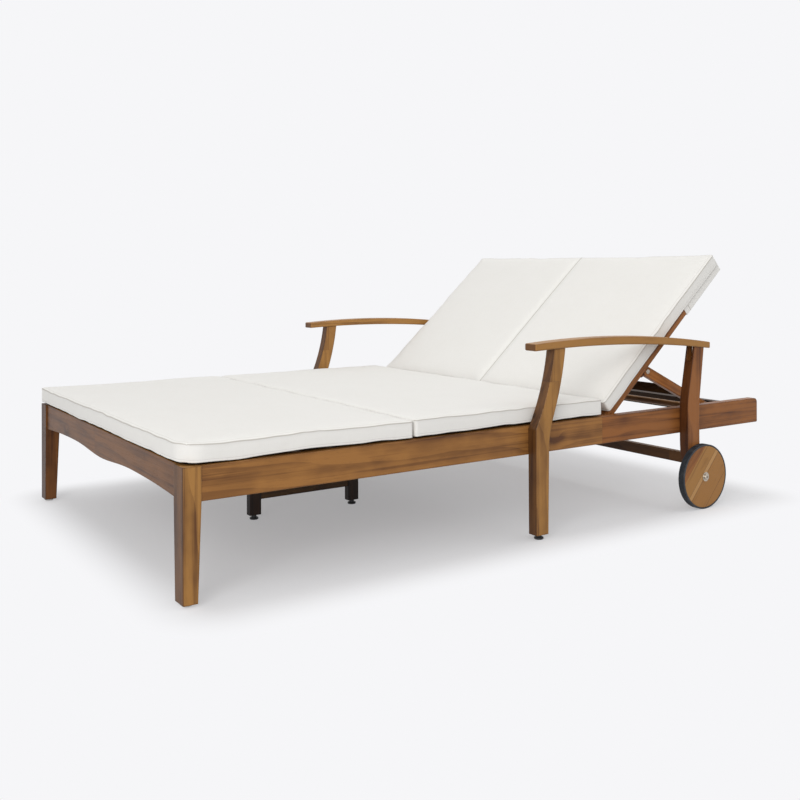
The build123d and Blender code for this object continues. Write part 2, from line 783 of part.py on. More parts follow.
def back_stile():
    """The right stile, round at the hinge end and bored for the hinge pin."""
    stile = block(back_inner_x, back_outer_x, -back_heel, back_length, -back_half, back_half)
    heel = stile.edges().filter_by(Axis.X).group_by(Axis.Y)[0]
    stile = fillet(heel, back_half - fit_clearance)
    stile = eased(stile, back_edge_radius, Axis.Y)
    bore = rod_x(hinge_pin_diameter + 2 * run_clearance, back_outer_x - hinge_pin_in_stile - overrun,
                 back_outer_x + overrun, 0, 0)
    return stile - bore


def back_slats():
    """The slats between the stiles, flush with the front of the frame."""
    first = back_rail_width - back_heel
    last = back_length - back_rail_width
    count = round((last - first) / back_slat_pitch)
    gap = (last - first - count * back_slat_width) / (count + 1)
    slats = []
    for number in range(count):
        y0 = first + gap + (back_slat_width + gap) * number
        slat = block(-back_inner_x, back_inner_x, y0, y0 + back_slat_width, slat_back_n, back_half)
        slats.append(fillet(slat.edges().filter_by(Axis.X).group_by(Axis.Z)[-1], slat_edge_radius))
    return group(slats)


def back_cross_rail(y0, y1):
    """A rail between the stiles, of the frame's full thickness."""
    board = block(-back_inner_x, back_inner_x, y0, y1, -back_half, back_half)
    return eased(board, cross_edge_radius, Axis.X)


def prop_block():
    """The right hinge block, under the stile, beside the prop arm."""
    half = prop_block_length / 2
    outer_x = prop_inner_x - prop_block_gap
    low = -prop_below - prop_block_below
    hanger = block(back_inner_x, outer_x, prop_along - half, prop_along + half, low, -back_half)
    corners = hanger.edges().filter_by(Axis.X).group_by(Axis.Z)[0]
    hanger = fillet(corners, prop_block_below)
    bore_diameter = prop_bolt_diameter + 2 * fit_clearance
    return hanger - rod_x(bore_diameter, back_inner_x - overrun, prop_inner_x, prop_along, -prop_below)


def prop_bolt():
    """The right prop bolt: head outside the arm, nut inside the block."""
    head_x = prop_outer_x + prop_block_gap
    nut_x = back_inner_x - fit_clearance
    shank = rod_x(prop_bolt_diameter, nut_x - prop_bolt_nut_height, head_x, prop_along, -prop_below)
    cap_x = head_x + prop_bolt_head_height
    head = rod_x(prop_bolt_head_diameter, head_x, cap_x, prop_along, -prop_below)
    rim = head.edges().filter_by(GeomType.CIRCLE).sort_by(Axis.X)[-1:]
    head = fillet(rim, prop_bolt_head_height / 2)
    nut_plane = Plane(origin=(nut_x, prop_along, -prop_below), z_dir=(-1, 0, 0))
    nut_outline = RegularPolygon(prop_bolt_nut_width / 2, hexagon_sides)
    nut = extrude(nut_plane * nut_outline, amount=prop_bolt_nut_height)
    return shank + head + nut


def hinge_pin():
    """The right hinge pin, held in the side rail and turning in the stile."""
    inner_x = back_outer_x - hinge_pin_in_stile
    return rod_x(hinge_pin_diameter, inner_x, rail_inner_x + hinge_pin_in_rail, hinge_y, hinge_z)


def hinge_washer():
    """The right spacer between the side rail and the stile."""
    inner_x = back_outer_x + hinge_washer_gap
    washer = rod_x(hinge_washer_diameter, inner_x, rail_inner_x, hinge_y, hinge_z)
    return washer - rod_x(hinge_pin_diameter + 2 * fit_clearance, inner_x, rail_inner_x, hinge_y, hinge_z)


# Prop frame, drawn along +Y from its pivot, then hung from the back

def prop_at_rest(piece):
    """Hang a piece of the prop from its pivot on the reclined back."""
    pivot_y, pivot_z = swung(rest_recline, prop_along, -prop_below)
    return Pos(0, pivot_y, pivot_z) * Rot(-prop_rest_drop, 0, 0) * piece


def prop_arm():
    """The right prop arm, round at both ends, bored for the bolt and the foot bar."""
    half = prop_arm_depth / 2
    arm = block(prop_inner_x, prop_outer_x, -half, prop_length + half, -half, half)
    arm = eased(arm, half - fit_clearance, Axis.X)
    arm = eased(arm, prop_edge_radius, Axis.Y)
    inner_x = prop_inner_x - overrun
    outer_x = prop_outer_x + overrun
    bolt_bore = rod_x(prop_bolt_diameter + 2 * run_clearance, inner_x, outer_x, 0, 0)
    bar_bore = rod_x(prop_bar_diameter + 2 * fit_clearance, inner_x, outer_x, prop_length, 0)
    return arm - bolt_bore - bar_bore


def prop_cross_board():
    """The board between the prop arms."""
    half_depth = prop_arm_depth / 2
    half_thick = prop_board_thickness / 2
    board = block(-prop_inner_x, prop_inner_x, prop_board_along - half_thick, prop_board_along + half_thick,
                  -half_depth, half_depth)
    return eased(board, prop_edge_radius, Axis.X)


def prop_foot_bar():
    """The round bar whose ends drop into the racks."""
    reach = rail_inner_x - prop_bar_end_gap
    return rod_x(prop_bar_diameter, -reach, reach, prop_length, 0)


# Cushions

def cushion_section(half_width, y, height, crown, channel):
    """One upright slice across a cushion: flat underside, bulging boxed sides, and a crowned top."""
    under = half_width - cushion_under_draw
    side = half_width + cushion_bulge
    right = ThreePointArc((under, 0), (side, height / 2), (half_width, height))
    left = ThreePointArc((-half_width, height), (-side, height / 2), (-under, 0))
    base = Line((-under, 0), (under, 0))
    if channel:
        quarter = half_width / 2
        valley = height + crown - channel
        top_right = ThreePointArc((half_width, height), (quarter, height + crown), (0, valley))
        top_left = ThreePointArc((0, valley), (-quarter, height + crown), (-half_width, height))
        outline = base + right + top_right + top_left + left
    else:
        top = ThreePointArc((half_width, height), (0, height + crown), (-half_width, height))
        outline = base + right + top + left
    slice_plane = Plane(origin=(0, y, 0), x_dir=(1, 0, 0), z_dir=(0, -1, 0))
    return slice_plane * make_face(outline)


def cushion(half_width, y0, y1, edge_height, channel):
    """A boxed cushion on its flat underside: crowned top, round corners, and drawn-in long sides."""
    ends = []
    for inward, corner_share, crown_share in cushion_station_shares:
        height = edge_height * (cushion_end_share + (1 - cushion_end_share) * min(1, 2 * inward))
        width = half_width - cushion_corner * corner_share
        ends.append((cushion_corner * inward, width, height, crown_share))
    stations = [(y0 + inset, width, height, crown) for inset, width, height, crown in ends]
    for place_share, draw_share, crown_share in cushion_span_shares:
        width = half_width - cushion_side_draw * draw_share
        stations.append((y0 + (y1 - y0) * place_share, width, edge_height, crown_share))
    stations += [(y1 - inset, width, height, crown) for inset, width, height, crown in reversed(ends)]
    slices = []
    for y, width, height, crown_share in stations:
        slices.append(cushion_section(width, y, height, cushion_crown * crown_share, channel * crown_share))
    return loft(slices)


def seat_length(y0, y1):
    """One length of the seat's cushioning, on the deck."""
    return Pos(0, 0, cushion_bottom_z) * cushion(cushion_half_width, y0, y1, cushion_edge_height, 0)


def back_cushion():
    """The cushion on the front of the back frame, with its sewn channel down the middle."""
    half_width = back_cushion_half_width
    height = back_cushion_edge_height
    pad = cushion(half_width, back_cushion_heel, back_length, height, back_cushion_channel)
    return Pos(0, 0, back_half + cushion_seat_gap) * pad


cushion_bottom_z = deck_height + cushion_seat_gap
seat_cushion_end_y = hinge_y - seat_cushion_hinge_gap
foot_cushion_start_y = foot_y + cushion_foot_setback
foot_cushion_end_y = foot_cushion_start_y + (seat_cushion_end_y - foot_cushion_start_y) * foot_cushion_share
seat_cushion_start_y = foot_cushion_end_y + cushion_joint_gap


def hood():
    """The fabric pocket over the top of the back frame: a rear panel, two sides and an end."""
    gap = hood_gap
    wall = hood_wall
    outer = block(-back_outer_x - gap - wall, back_outer_x + gap + wall, back_length - hood_length,
                  back_length + gap + wall, -back_half - gap - wall, back_half)
    inner = block(-back_outer_x - gap, back_outer_x + gap, back_length - hood_length - overrun,
                  back_length + gap, -back_half - gap, back_half + overrun)
    return outer - inner


rack = prop_rack()
rail = side_rail()
leg = front_leg()
stretcher_front_y = wheel_y - stretcher_thickness - axle_diameter
tail_rail_top_z = hinge_z - back_half - hood_gap - hood_wall - tail_rail_gap
tail_rail_back_y = tail_y - tail_rail_from_tail
ledger = block(rail_inner_x - ledger_width, rail_inner_x, leg_back_y, mid_rail_front_y,
               slat_bottom_z - ledger_depth, slat_bottom_z)

nodes = {
    "side_rail_right": rail,
    "side_rail_left": mirrored(rail),
    "front_leg_right": leg,
    "front_leg_left": mirrored(leg),
    "leg_glides": pair(glide()),
    "front_apron": front_apron(),
    "arm_post_right": arm_post,
    "arm_post_left": mirrored(arm_post),
    "rear_post_right": rear_post,
    "rear_post_left": mirrored(rear_post),
    "armrest_right": arm_board,
    "armrest_left": mirrored(arm_board),
    "armrest_bolts": group(arm_bolts + [mirrored(bolt) for bolt in arm_bolts]),
    "tail_rail": cross_board(tail_rail_back_y - tail_rail_thickness, tail_rail_back_y,
                             tail_rail_top_z - tail_rail_depth, tail_rail_top_z, rail_inner_x),
    "rear_stretcher": cross_board(stretcher_front_y, stretcher_front_y + stretcher_thickness,
                                  stretcher_height, stretcher_height + stretcher_depth, rail_outer_x),
    "mid_rail": cross_board(mid_rail_front_y, mid_rail_back_y, slat_bottom_z - mid_rail_depth,
                            slat_bottom_z, rail_inner_x),
    "centre_beam": block(-beam_width / 2, beam_width / 2, apron_back_y, mid_rail_front_y, beam_bottom_z,
                         slat_bottom_z),
    "centre_leg_front": centre_leg(centre_leg_front_y),
    "centre_leg_rear": centre_leg(centre_leg_rear_y),
    "centre_stretcher": centre_stretcher(),
    "seat_ledger_right": ledger,
    "seat_ledger_left": mirrored(ledger),
    "seat_slats": seat_slats(),
    "prop_rack_right": rack,
    "prop_rack_left": mirrored(rack),
    "rack_screws": group([rack_screw(y) for y in rack_screw_places]
                         + [mirrored(rack_screw(y)) for y in rack_screw_places]),
    "hinge_pins": pair(hinge_pin()),
    "hinge_washers": pair(hinge_washer()),
    "post_bolts": group([post_bolt(y, z) for y, z in arm_post_bolts + rear_post_bolts]
                        + [mirrored(post_bolt(y, z)) for y, z in arm_post_bolts + rear_post_bolts]),
    "axle_bolts": pair(axle_bolt()),
    "axle_washers": pair(axle_washer()),
    "wheel_disc_right": wheel_disc(),
    "wheel_disc_left": mirrored(wheel_disc()),
    "tyre_right": tyre(),
    "tyre_left": mirrored(tyre()),
    "levelling_foot_right": levelling_foot(post_middle_x, arm_post_foot_y),
    "levelling_foot_left": levelling_foot(-post_middle_x, arm_post_foot_y),
    "levelling_foot_front": levelling_foot(0, centre_leg_front_y),
    "levelling_foot_rear": levelling_foot(0, centre_leg_rear_y),
    "foot_cushion": seat_length(foot_cushion_start_y, foot_cushion_end_y),
    "seat_cushion": seat_length(seat_cushion_start_y, seat_cushion_end_y),
    "back_stile_right": at_rest(back_stile()),
    "back_stile_left": at_rest(mirrored(back_stile())),
    "back_top_rail": at_rest(back_cross_rail(back_length - back_rail_width, back_length)),
    "back_bottom_rail": at_rest(back_cross_rail(-back_heel, back_rail_width - back_heel)),
    "back_batten": at_rest(block(-back_batten_width / 2, back_batten_width / 2, back_rail_width - back_heel,
                                 back_length - back_rail_width, -back_half, slat_back_n)),
    "back_slats": at_rest(back_slats()),
    "prop_block_right": at_rest(prop_block()),
    "prop_block_left": at_rest(mirrored(prop_block())),
    "prop_bolts": at_rest(pair(prop_bolt())),
    "back_cushion": at_rest(back_cushion()),
    "back_hood": at_rest(hood()),
    "prop_arm_right": prop_at_rest(prop_arm()),
    "prop_arm_left": prop_at_rest(mirrored(prop_arm())),
    "prop_cross_board": prop_at_rest(prop_cross_board()),
    "prop_foot_bar": prop_at_rest(prop_foot_bar()),
}

os.makedirs("parts", exist_ok=True)
for name, piece in nodes.items():
    export_step(piece, f"parts/{name}.step")
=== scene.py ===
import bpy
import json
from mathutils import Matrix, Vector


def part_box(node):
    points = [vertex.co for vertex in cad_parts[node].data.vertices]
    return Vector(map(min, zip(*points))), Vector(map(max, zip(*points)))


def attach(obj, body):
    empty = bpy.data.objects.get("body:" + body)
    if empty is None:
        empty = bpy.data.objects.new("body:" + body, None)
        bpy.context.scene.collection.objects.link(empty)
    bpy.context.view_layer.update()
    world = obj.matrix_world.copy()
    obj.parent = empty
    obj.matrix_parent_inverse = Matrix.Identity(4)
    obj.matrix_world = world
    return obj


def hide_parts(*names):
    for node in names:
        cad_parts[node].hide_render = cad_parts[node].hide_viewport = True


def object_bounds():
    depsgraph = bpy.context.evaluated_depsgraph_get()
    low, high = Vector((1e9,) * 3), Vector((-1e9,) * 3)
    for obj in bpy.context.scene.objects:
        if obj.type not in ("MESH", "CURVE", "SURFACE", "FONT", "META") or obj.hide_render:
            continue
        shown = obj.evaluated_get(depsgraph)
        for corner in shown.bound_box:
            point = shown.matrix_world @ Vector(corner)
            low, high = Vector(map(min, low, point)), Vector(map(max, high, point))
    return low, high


bl_info = {
    "name": "Double Lounger",
    "version": (1, 0, 0),
    "blender": (4, 5, 0),
    "location": "View3D > Sidebar > Lounger",
    "description": "Wood, steel, rubber, cushions and hood of a reclining double lounger, with its studio",
    "category": "Object",
}

import json
import math
from collections import namedtuple

import bmesh
import bpy
from bpy.props import FloatProperty, FloatVectorProperty, IntProperty, PointerProperty
from bpy.types import Operator, Panel, PropertyGroup
from mathutils import Matrix, Vector, noise

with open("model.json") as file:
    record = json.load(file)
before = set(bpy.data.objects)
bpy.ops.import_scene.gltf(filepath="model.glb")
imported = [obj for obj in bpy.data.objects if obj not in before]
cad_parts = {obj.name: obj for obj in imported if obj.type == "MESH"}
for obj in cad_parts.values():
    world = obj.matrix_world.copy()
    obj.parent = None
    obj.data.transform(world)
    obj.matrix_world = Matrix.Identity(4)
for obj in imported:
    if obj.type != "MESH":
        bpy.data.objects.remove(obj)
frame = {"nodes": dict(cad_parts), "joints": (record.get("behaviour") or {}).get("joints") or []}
NODES = frame["nodes"]
CAD_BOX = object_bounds()

# Places that follow from the frame
JOINTS = {joint["name"]: joint for joint in frame["joints"]}
RECLINE = math.radians(-JOINTS["back_recline"]["range_deg"][0])
BACK_TURN = Matrix.Rotation(RECLINE, 4, "X")
BACK_PLACE = Matrix.Translation(Vector(JOINTS["back_recline"]["pos_m"])) @ BACK_TURN
WHEEL_PLACE = Vector(JOINTS["wheel_right_spin"]["pos_m"])


def colour_value(name, default, text):
    """A colour that a user can change."""
    return FloatVectorProperty(
        name=name, description=text, default=default, subtype="COLOR", min=0, max=1)


def length_value(name, default, text):
    """A length that a user can change."""
    return FloatProperty(name=name, description=text, default=default, unit="LENGTH", precision=4)


def share_value(name, default, text):
    """A share from nothing to all that a user can change."""
    return FloatProperty(
        name=name, description=text, default=default, min=0, max=1, subtype="FACTOR")


def turn_value(name, degrees, text):
    """An angle that a user can change."""
    return FloatProperty(
        name=name, description=text, default=math.radians(degrees), subtype="ANGLE")


def strength_value(name, default, text):
    """A strength of light or of filling that a user can change."""
    return FloatProperty(name=name, description=text, default=default, min=0)


class LoungerWood(PropertyGroup):
    """Colours of the boards: their stain and figure, with painted shade on the faces that look along Y and
    a painted highlight on their edges.
    """
    light: colour_value("Light", (0.370, 0.180, 0.048), "Early wood under the stain")
    dark: colour_value("Dark", (0.112, 0.044, 0.013), "Late wood, streaks and joints")
    knot: colour_value("Knot", (0.045, 0.018, 0.008), "Heart of a knot")
    red: colour_value("Red", (0.79, 0.60, 0.54), "Tint of the reddest strips")
    # Worn: the paler colour on the edges, partly thin stain on eased edges and partly a painted highlight
    # along the arrises
    worn_and_highlight: colour_value("Worn", (0.56, 0.32, 0.13), "Eased edges where the stain is thin")
    # Sawn: darkens the faces that look along Y, partly as end grain that takes more stain, partly as
    # painted shade on those faces
    sawn_and_shade: colour_value("Sawn", (0.37, 0.315, 0.30), "Tint of sawn edges, which take more stain")
    stave: length_value("Stave", 1.7, "Usual length of the strips that a board is glued from")
    # Rim: the tint of a darker band along every edge of the boards
    rim: colour_value("Rim", (0.32, 0.25, 0.21), "Tint along the edges, where the stain gathers")
    edge: length_value("Edge", 0.0019, "Reach of the wear from an edge")


class LoungerCloth(PropertyGroup):
    """Canvas of the cushions and the hood."""
    thread: colour_value("Thread", (0.872, 0.860, 0.830), "Face of the yarns")
    # Hollow: the darker colour in the gaps between the yarns, which paints shade into the weave's recesses
    hollow_and_gap_shade: colour_value("Hollow", (0.785, 0.764, 0.715), "Gaps between the yarns")
    # Stitch: partly the thread's colour, partly painted shade along the seams
    stitch: colour_value("Stitch", (0.43, 0.40, 0.35), "Seams and stitching")
    # Under: near black, the underside cloth, which also serves as painted shade for the shadow line under
    # the cushions' edges
    under: colour_value("Under", (0.012, 0.012, 0.013), "Dark underside of the cushions")
    pitch: length_value("Pitch", 0.0011, "Distance between two yarns")


class LoungerCushions(PropertyGroup):
    """Making up of the cushions."""
    cell: length_value("Cell", 0.0125, "Spacing of the mesh before it is smoothed")
    front_corner: length_value(
        "Front corner", 0.056, "Radius in plan of the rounded corner at the foot's right")
    corner: length_value("Corner", 0.008, "Radius in plan of the other corners")
    crown: length_value("Crown", 0.008, "Most that the filling may raise a cover on the deck")
    back_crown: length_value(
        "Back crown", 0.014, "Most that the filling may raise the back cushion's cover")
    edge_hold: share_value("Edge hold", 0.8, "Share of the rise that the boxed edge holds back")
    edge_reach: length_value("Edge reach", 0.022, "How far in from the edge the hold fades")
    bulge: length_value("Bulge", 0.002, "Most that the filling may push a side out")
    inset: length_value(
        "Inset", 0.001, "How much smaller the cut cover is than the full cushion")
    overhang: length_value(
        "Overhang", 0.006, "How far the foot cushion stands forward at the foot")
    press: length_value("Press", 0.0003, "How much longer it is where two cushions meet")
    welt: length_value("Welt", 0.0015, "How far the seam stands out")
    welt_half: length_value("Welt half", 0.0028, "Half the width of the seam's ridge")
    topstitch: length_value("Topstitch", 0.008, "Distance of the stitching from the seam")
    channel: length_value("Channel", 0.006, "Depth of the sewn channel in the back cushion")
    draw: length_value("Draw", 0.003, "How far the sides draw in between the corners")
    slack: length_value("Slack", 0.0035, "Height of the waves along the boxed edge")
    slack_run: length_value("Slack run", 0.16, "Length of the waves along the boxed edge")
    slack_reach: length_value("Slack reach", 0.05, "How far in from the edge the waves fade")
    rim: length_value("Rim", 0.0058, "Rise of the underside's rim on the deck")
    back_rim: length_value("Back rim", 0.0026, "Rise of the underside's rim on the back frame")
    rim_band: length_value("Rim band", 0.05, "Width of the risen rim")
    pressure: strength_value("Pressure", 4.0, "Pressure of the filling")
    frames: IntProperty(
        name="Frames", description="Steps of the filling simulation", default=20, min=2)


class LoungerStudio(PropertyGroup):
    """Camera, lamps and floor."""
    eye: FloatVectorProperty(
        name="Eye", description="Place of the camera", default=(2.6400, -1.7838, 0.7454),
        subtype="TRANSLATION")
    turn: turn_value("Turn", 56.176, "Turn of the camera from the long axis")
    roll: turn_value("Roll", -0.14, "Camera's roll")
    lens: FloatProperty(name="Lens", description="Focal length, in millimetres", default=43.68)
    shift: FloatProperty(name="Shift", description="Upward shift of the frame", default=-0.1652)
    backdrop: colour_value("Backdrop", (0.922, 0.922, 0.939), "Colour behind the lounger")
    floor: colour_value("Floor", (0.78, 0.78, 0.79), "Colour of the floor")
    bounce: colour_value(
        "Bounce", (0.50, 0.50, 0.51), "Colour that the floor throws back up")
    veil: share_value(
        "Veil", 0.34, "Share of the backdrop that lies over the floor's shadow")
    fade: length_value(
        "Fade", 0.20, "Distance round the lounger over which its shadow fades")
    sky: strength_value("Sky", 0.82, "Strength of the light from all round")
    key: strength_value("Key", 178.0, "Power of the side lamp, in watts")
    top: strength_value("Top", 44.0, "Power of the overhead lamp, in watts")


def settings(group):
    """One of the lounger's groups of settings."""
    return getattr(bpy.context.scene, group)


# Node trees

def add_node(tree, kind, **values):
    """A shader node whose plain settings are given by name."""
    node = tree.nodes.new(kind)
    for name, value in values.items():
        setattr(node, name, value)
    return node


def feed(tree, source, target):
    """Link an output to an input, or set the input where the source is a plain value."""
    if isinstance(source, bpy.types.NodeSocket):
        tree.links.new(source, target)
    elif source is not None:
        target.default_value = source


def feed_all(tree, node, values):
    """Feed several inputs of a node by name, and give the node back."""
    for name, value in values.items():
        feed(tree, value, node.inputs[name])
    return node


def calculate(tree, operation, first, second=None, third=None, clamp=False):
    """One step of arithmetic."""
    node = add_node(tree, "ShaderNodeMath", operation=operation, use_clamp=clamp)
    for number, value in enumerate((first, second, third)):
        feed(tree, value, node.inputs[number])
    return node.outputs[0]


def ramp(tree, value, low, high, start=0.0, end=1.0):
    """A smooth rise of one value over a range of another."""
    node = add_node(tree, "ShaderNodeMapRange", interpolation_type="SMOOTHSTEP")
    feed_all(tree, node, {"Value": value, "From Min": low, "From Max": high, "To Min": start,
                          "To Max": end})
    return node.outputs[0]


def blend_colours(tree, share, first, second, way="MIX"):
    """Two colours mixed by a share."""
    node = add_node(tree, "ShaderNodeMix", data_type="RGBA", blend_type=way)
    feed_all(tree, node, {"Factor": share, 6: first, 7: second})
    return node.outputs[2]


def tinted(tree, colour, tint):
    """A colour multiplied by another."""
    return blend_colours(tree, 1.0, colour, opaque(tint), "MULTIPLY")


def opaque(colour, painted_shade=1.0):
    """A colour with its alpha, scaled by a share of painted shade: darker below 1, lighter above 1."""
    return (*(painted_shade * value for value in colour), 1)


def vector_step(tree, operation, first, second=None, third=None):
    """One step of arithmetic on vectors."""
    node = add_node(tree, "ShaderNodeVectorMath", operation=operation)
    for number, value in enumerate((first, second, third)):
        feed(tree, value, node.inputs[number])
    return node.outputs


def scaled(tree, vector, factors, offset=(0, 0, 0)):
    """A vector stretched and moved."""
    return vector_step(tree, "MULTIPLY_ADD", vector, factors, offset)[0]


def turned(tree, vector, turn, move=(0, 0, 0)):
    """A vector turned and then moved."""
    node = add_node(tree, "ShaderNodeMapping")
    feed_all(tree, node, {"Vector": vector, "Rotation": turn, "Location": move})
    return node.outputs[0]


def noise_value(tree, vector, scale=1.0, detail=2.0, roughness=0.5, distortion=0.0):
    """Noise along a vector, as a value about a half."""
    node = add_node(tree, "ShaderNodeTexNoise")
    feed_all(tree, node, {"Vector": vector, "Scale": scale, "Detail": detail,
                          "Roughness": roughness, "Distortion": distortion})
    return node.outputs["Fac"]


def split_axes(tree, vector):
    """The X, Y and Z of a vector."""
    node = add_node(tree, "ShaderNodeSeparateXYZ")
    tree.links.new(vector, node.inputs[0])
    return node.outputs


def join_axes(tree, x=None, y=None, z=None):
    """A vector from its X, Y and Z."""
    node = add_node(tree, "ShaderNodeCombineXYZ")
    feed_all(tree, node, {0: x, 1: y, 2: z})
    return node.outputs[0]


def bump(tree, height, depth, strength=1.0, normal=None):
    """A bump of a depth in metres."""
    node = add_node(tree, "ShaderNodeBump")
    feed_all(tree, node, {"Height": height, "Distance": depth, "Strength": strength,
                          "Normal": normal})
    return node.outputs[0]


def new_group(name, inputs, outputs):
    """An empty shader node group with named sockets."""
    tree = bpy.data.node_groups.new(name, "ShaderNodeTree")
    for label, kind, default in inputs:
        socket = tree.interface.new_socket(label, in_out="INPUT", socket_type=kind)
        if default is not None:
            socket.default_value = default
    for label, kind in outputs:
        tree.interface.new_socket(label, in_out="OUTPUT", socket_type=kind)
    given = tree.nodes.new("NodeGroupInput").outputs
    return tree, given, tree.nodes.new("NodeGroupOutput").inputs


def place_group(tree, group, **values):
    """A group node with its values or links."""
    node = add_node(tree, "ShaderNodeGroup", node_tree=bpy.data.node_groups[group])
    return feed_all(tree, node, values).outputs


FLOAT, COLOUR, VECTOR = "NodeSocketFloat", "NodeSocketColor", "NodeSocketVector"

# Grain: how far each strip starts from the next in the figure, and its spread of tone
STRIP_STARTS = (7.3, 3.1)
STRIP_SPREAD = 0.16
RED_STRIPS = (0.45, 0.93)
GLUE_WIDTH = 0.0003

# Knots: stretch and start of their cells, cells in a metre, and reaches of the knot and its heart
KNOT_RUN, KNOT_START, KNOT_CELLS = (1.0, 1.55, 1.55), (0.13, 0.21, 0.08), 3.6
KNOT_REACH, HEART_REACH = (0.055, 0.22), (0.018, 0.052)

# Rings: stretch of their bands, and how they waver
RING_RUN, RING_RISE = (0.55, 9.5, 13.0), (0.30, 1.0)
RINGS = {"Scale": 1.15, "Distortion": 3.2, "Detail": 2.5, "Detail Scale": 1.1,
         "Detail Roughness": 0.55}
WAVER_RUN = (2.2, 9.0)
KNOT_FLOW, RING_TURNS = 0.35, 14.0

# Layers of noise: stretch along and across the board, detail, roughness, and where they rise
FIBRE = (14.0, 620.0), 3.0, 0.6, None
LAYERS = {
    "streak": ((1.6, 42.0), 3.0, 0.5, (0.33, 0.70)),
    "patch": ((5.5, 11.0), 3.0, 0.6, (0.36, 0.68)),
    "vein": ((1.8, 120.0), 3.0, 0.5, (0.52, 0.68)),
    "pore": ((55.0, 1250.0), 1.0, 0.5, (0.66, 0.78)),
}

# Weight of each layer in the figure, the sum at which they balance, and the figure's strength
WEIGHTS = {"ring": 0.30, "streak": 0.30, "patch": 0.40, "fibre": 0.22, "vein": 0.34}
BALANCE, STRENGTH = 0.67, 1.3


def grain_layer(tree, start, run, detail, roughness, rise):
    """One layer of noise, stretched along the board, that rises over a range."""
    along, across = run
    value = noise_value(tree, scaled(tree, start, (along, across, across)), detail=detail,
                        roughness=roughness)
    return ramp(tree, value, *rise) if rise else value


def make_grain_group():
    """Figure of a glued board: strips, rings, streaks, fibres, pores and knots along X."""
    inputs = [("Vector", VECTOR, None), ("Light", COLOUR, None), ("Dark", COLOUR, None),
              ("Knot", COLOUR, None), ("Red", COLOUR, None), ("Stave", FLOAT, 0.3),
              ("Board", FLOAT, 0.07), ("Figure", FLOAT, 0.5), ("Tone", FLOAT, 0.5)]
    outputs = [("Color", COLOUR), ("Roughness", FLOAT), ("Height", FLOAT)]
    tree, given, result = new_group("Board grain", inputs, outputs)
    vector = given["Vector"]

    # Strips with their own tone and their own start in the figure
    strips = add_node(tree, "ShaderNodeTexBrick", offset=0.5, offset_frequency=2, squash=1.0,
                      squash_frequency=2)
    feed_all(tree, strips, {
        "Vector": vector, "Color1": opaque((0.0, 0.0, 0.0)), "Color2": opaque((1.0, 1.0, 1.0)),
        "Mortar": opaque((0.5, 0.5, 0.5)), "Scale": 1.0, "Mortar Size": GLUE_WIDTH,
        "Mortar Smooth": 0.3, "Brick Width": given["Stave"], "Row Height": given["Board"]})
    strip_tone, joint = strips.outputs["Color"], strips.outputs["Fac"]
    own_start = join_axes(tree, x=calculate(tree, "MULTIPLY", strip_tone, STRIP_STARTS[0]),
                          z=calculate(tree, "MULTIPLY", strip_tone, STRIP_STARTS[1]))
    start = scaled(tree, vector, (1, 1, 1), own_start)

    # Knots, and the way that the fibres flow round them
    knots = add_node(tree, "ShaderNodeTexVoronoi", voronoi_dimensions="3D", feature="F1")
    feed_all(tree, knots, {"Vector": scaled(tree, vector, KNOT_RUN, KNOT_START),
                           "Scale": KNOT_CELLS})
    near_knot = ramp(tree, knots.outputs["Distance"], *KNOT_REACH, 1.0, 0.0)
    heart = ramp(tree, knots.outputs["Distance"], *HEART_REACH, 1.0, 0.0)

    # Rings stretched along the board
    waver = grain_layer(tree, start, WAVER_RUN, 2.0, 0.5, None)
    flow = calculate(tree, "MULTIPLY_ADD", near_knot, KNOT_FLOW, waver)
    rings = add_node(tree, "ShaderNodeTexWave", wave_type="BANDS", bands_direction="DIAGONAL",
                     wave_profile="SAW")
    feed_all(tree, rings, {"Vector": scaled(tree, start, RING_RUN), **RINGS,
                           "Phase Offset": calculate(tree, "MULTIPLY", flow, RING_TURNS)})

    # Figure from the rings and the layers of noise
    layers = {name: grain_layer(tree, start, *values) for name, values in LAYERS.items()}
    layers["ring"] = ramp(tree, rings.outputs["Fac"], *RING_RISE)
    layers["fibre"] = grain_layer(tree, start, *FIBRE)
    figure = -BALANCE
    for name, weight in WEIGHTS.items():
        figure = calculate(tree, "MULTIPLY_ADD", layers[name], weight, figure)
    strength = calculate(tree, "MULTIPLY", given["Figure"], STRENGTH)
    figure = calculate(tree, "MULTIPLY", figure, strength)

    # Colour
    spread = calculate(tree, "MULTIPLY_ADD", strip_tone, STRIP_SPREAD, -STRIP_SPREAD / 2)
    share = calculate(tree, "ADD", calculate(tree, "ADD", figure, spread), given["Tone"])
    share = calculate(tree, "MULTIPLY_ADD", near_knot, 0.30, share, clamp=True)
    colour = blend_colours(tree, share, given["Light"], given["Dark"])
    reddened = blend_colours(tree, 1.0, colour, given["Red"], "MULTIPLY")
    colour = blend_colours(tree, ramp(tree, strip_tone, *RED_STRIPS), colour, reddened)
    for mask, most, stain in ((layers["pore"], 0.45, "Dark"), (heart, 0.85, "Knot"),
                              (joint, 0.6, "Knot")):
        colour = blend_colours(tree, calculate(tree, "MULTIPLY", mask, most), colour, given[stain])
    tree.links.new(colour, result["Color"])

    # Gloss and relief
    rough = calculate(tree, "MULTIPLY_ADD", layers["fibre"], 0.22, 0.33)
    rough = calculate(tree, "MULTIPLY_ADD", layers["pore"], 0.2, rough)
    tree.links.new(rough, result["Roughness"])
    height = 0.0
    for value, weight in ((layers["ring"], 0.25), (layers["fibre"], 0.6),
                          (layers["pore"], -0.7), (joint, -1.0)):
        height = calculate(tree, "MULTIPLY_ADD", value, weight, height)
    tree.links.new(height, result["Height"])


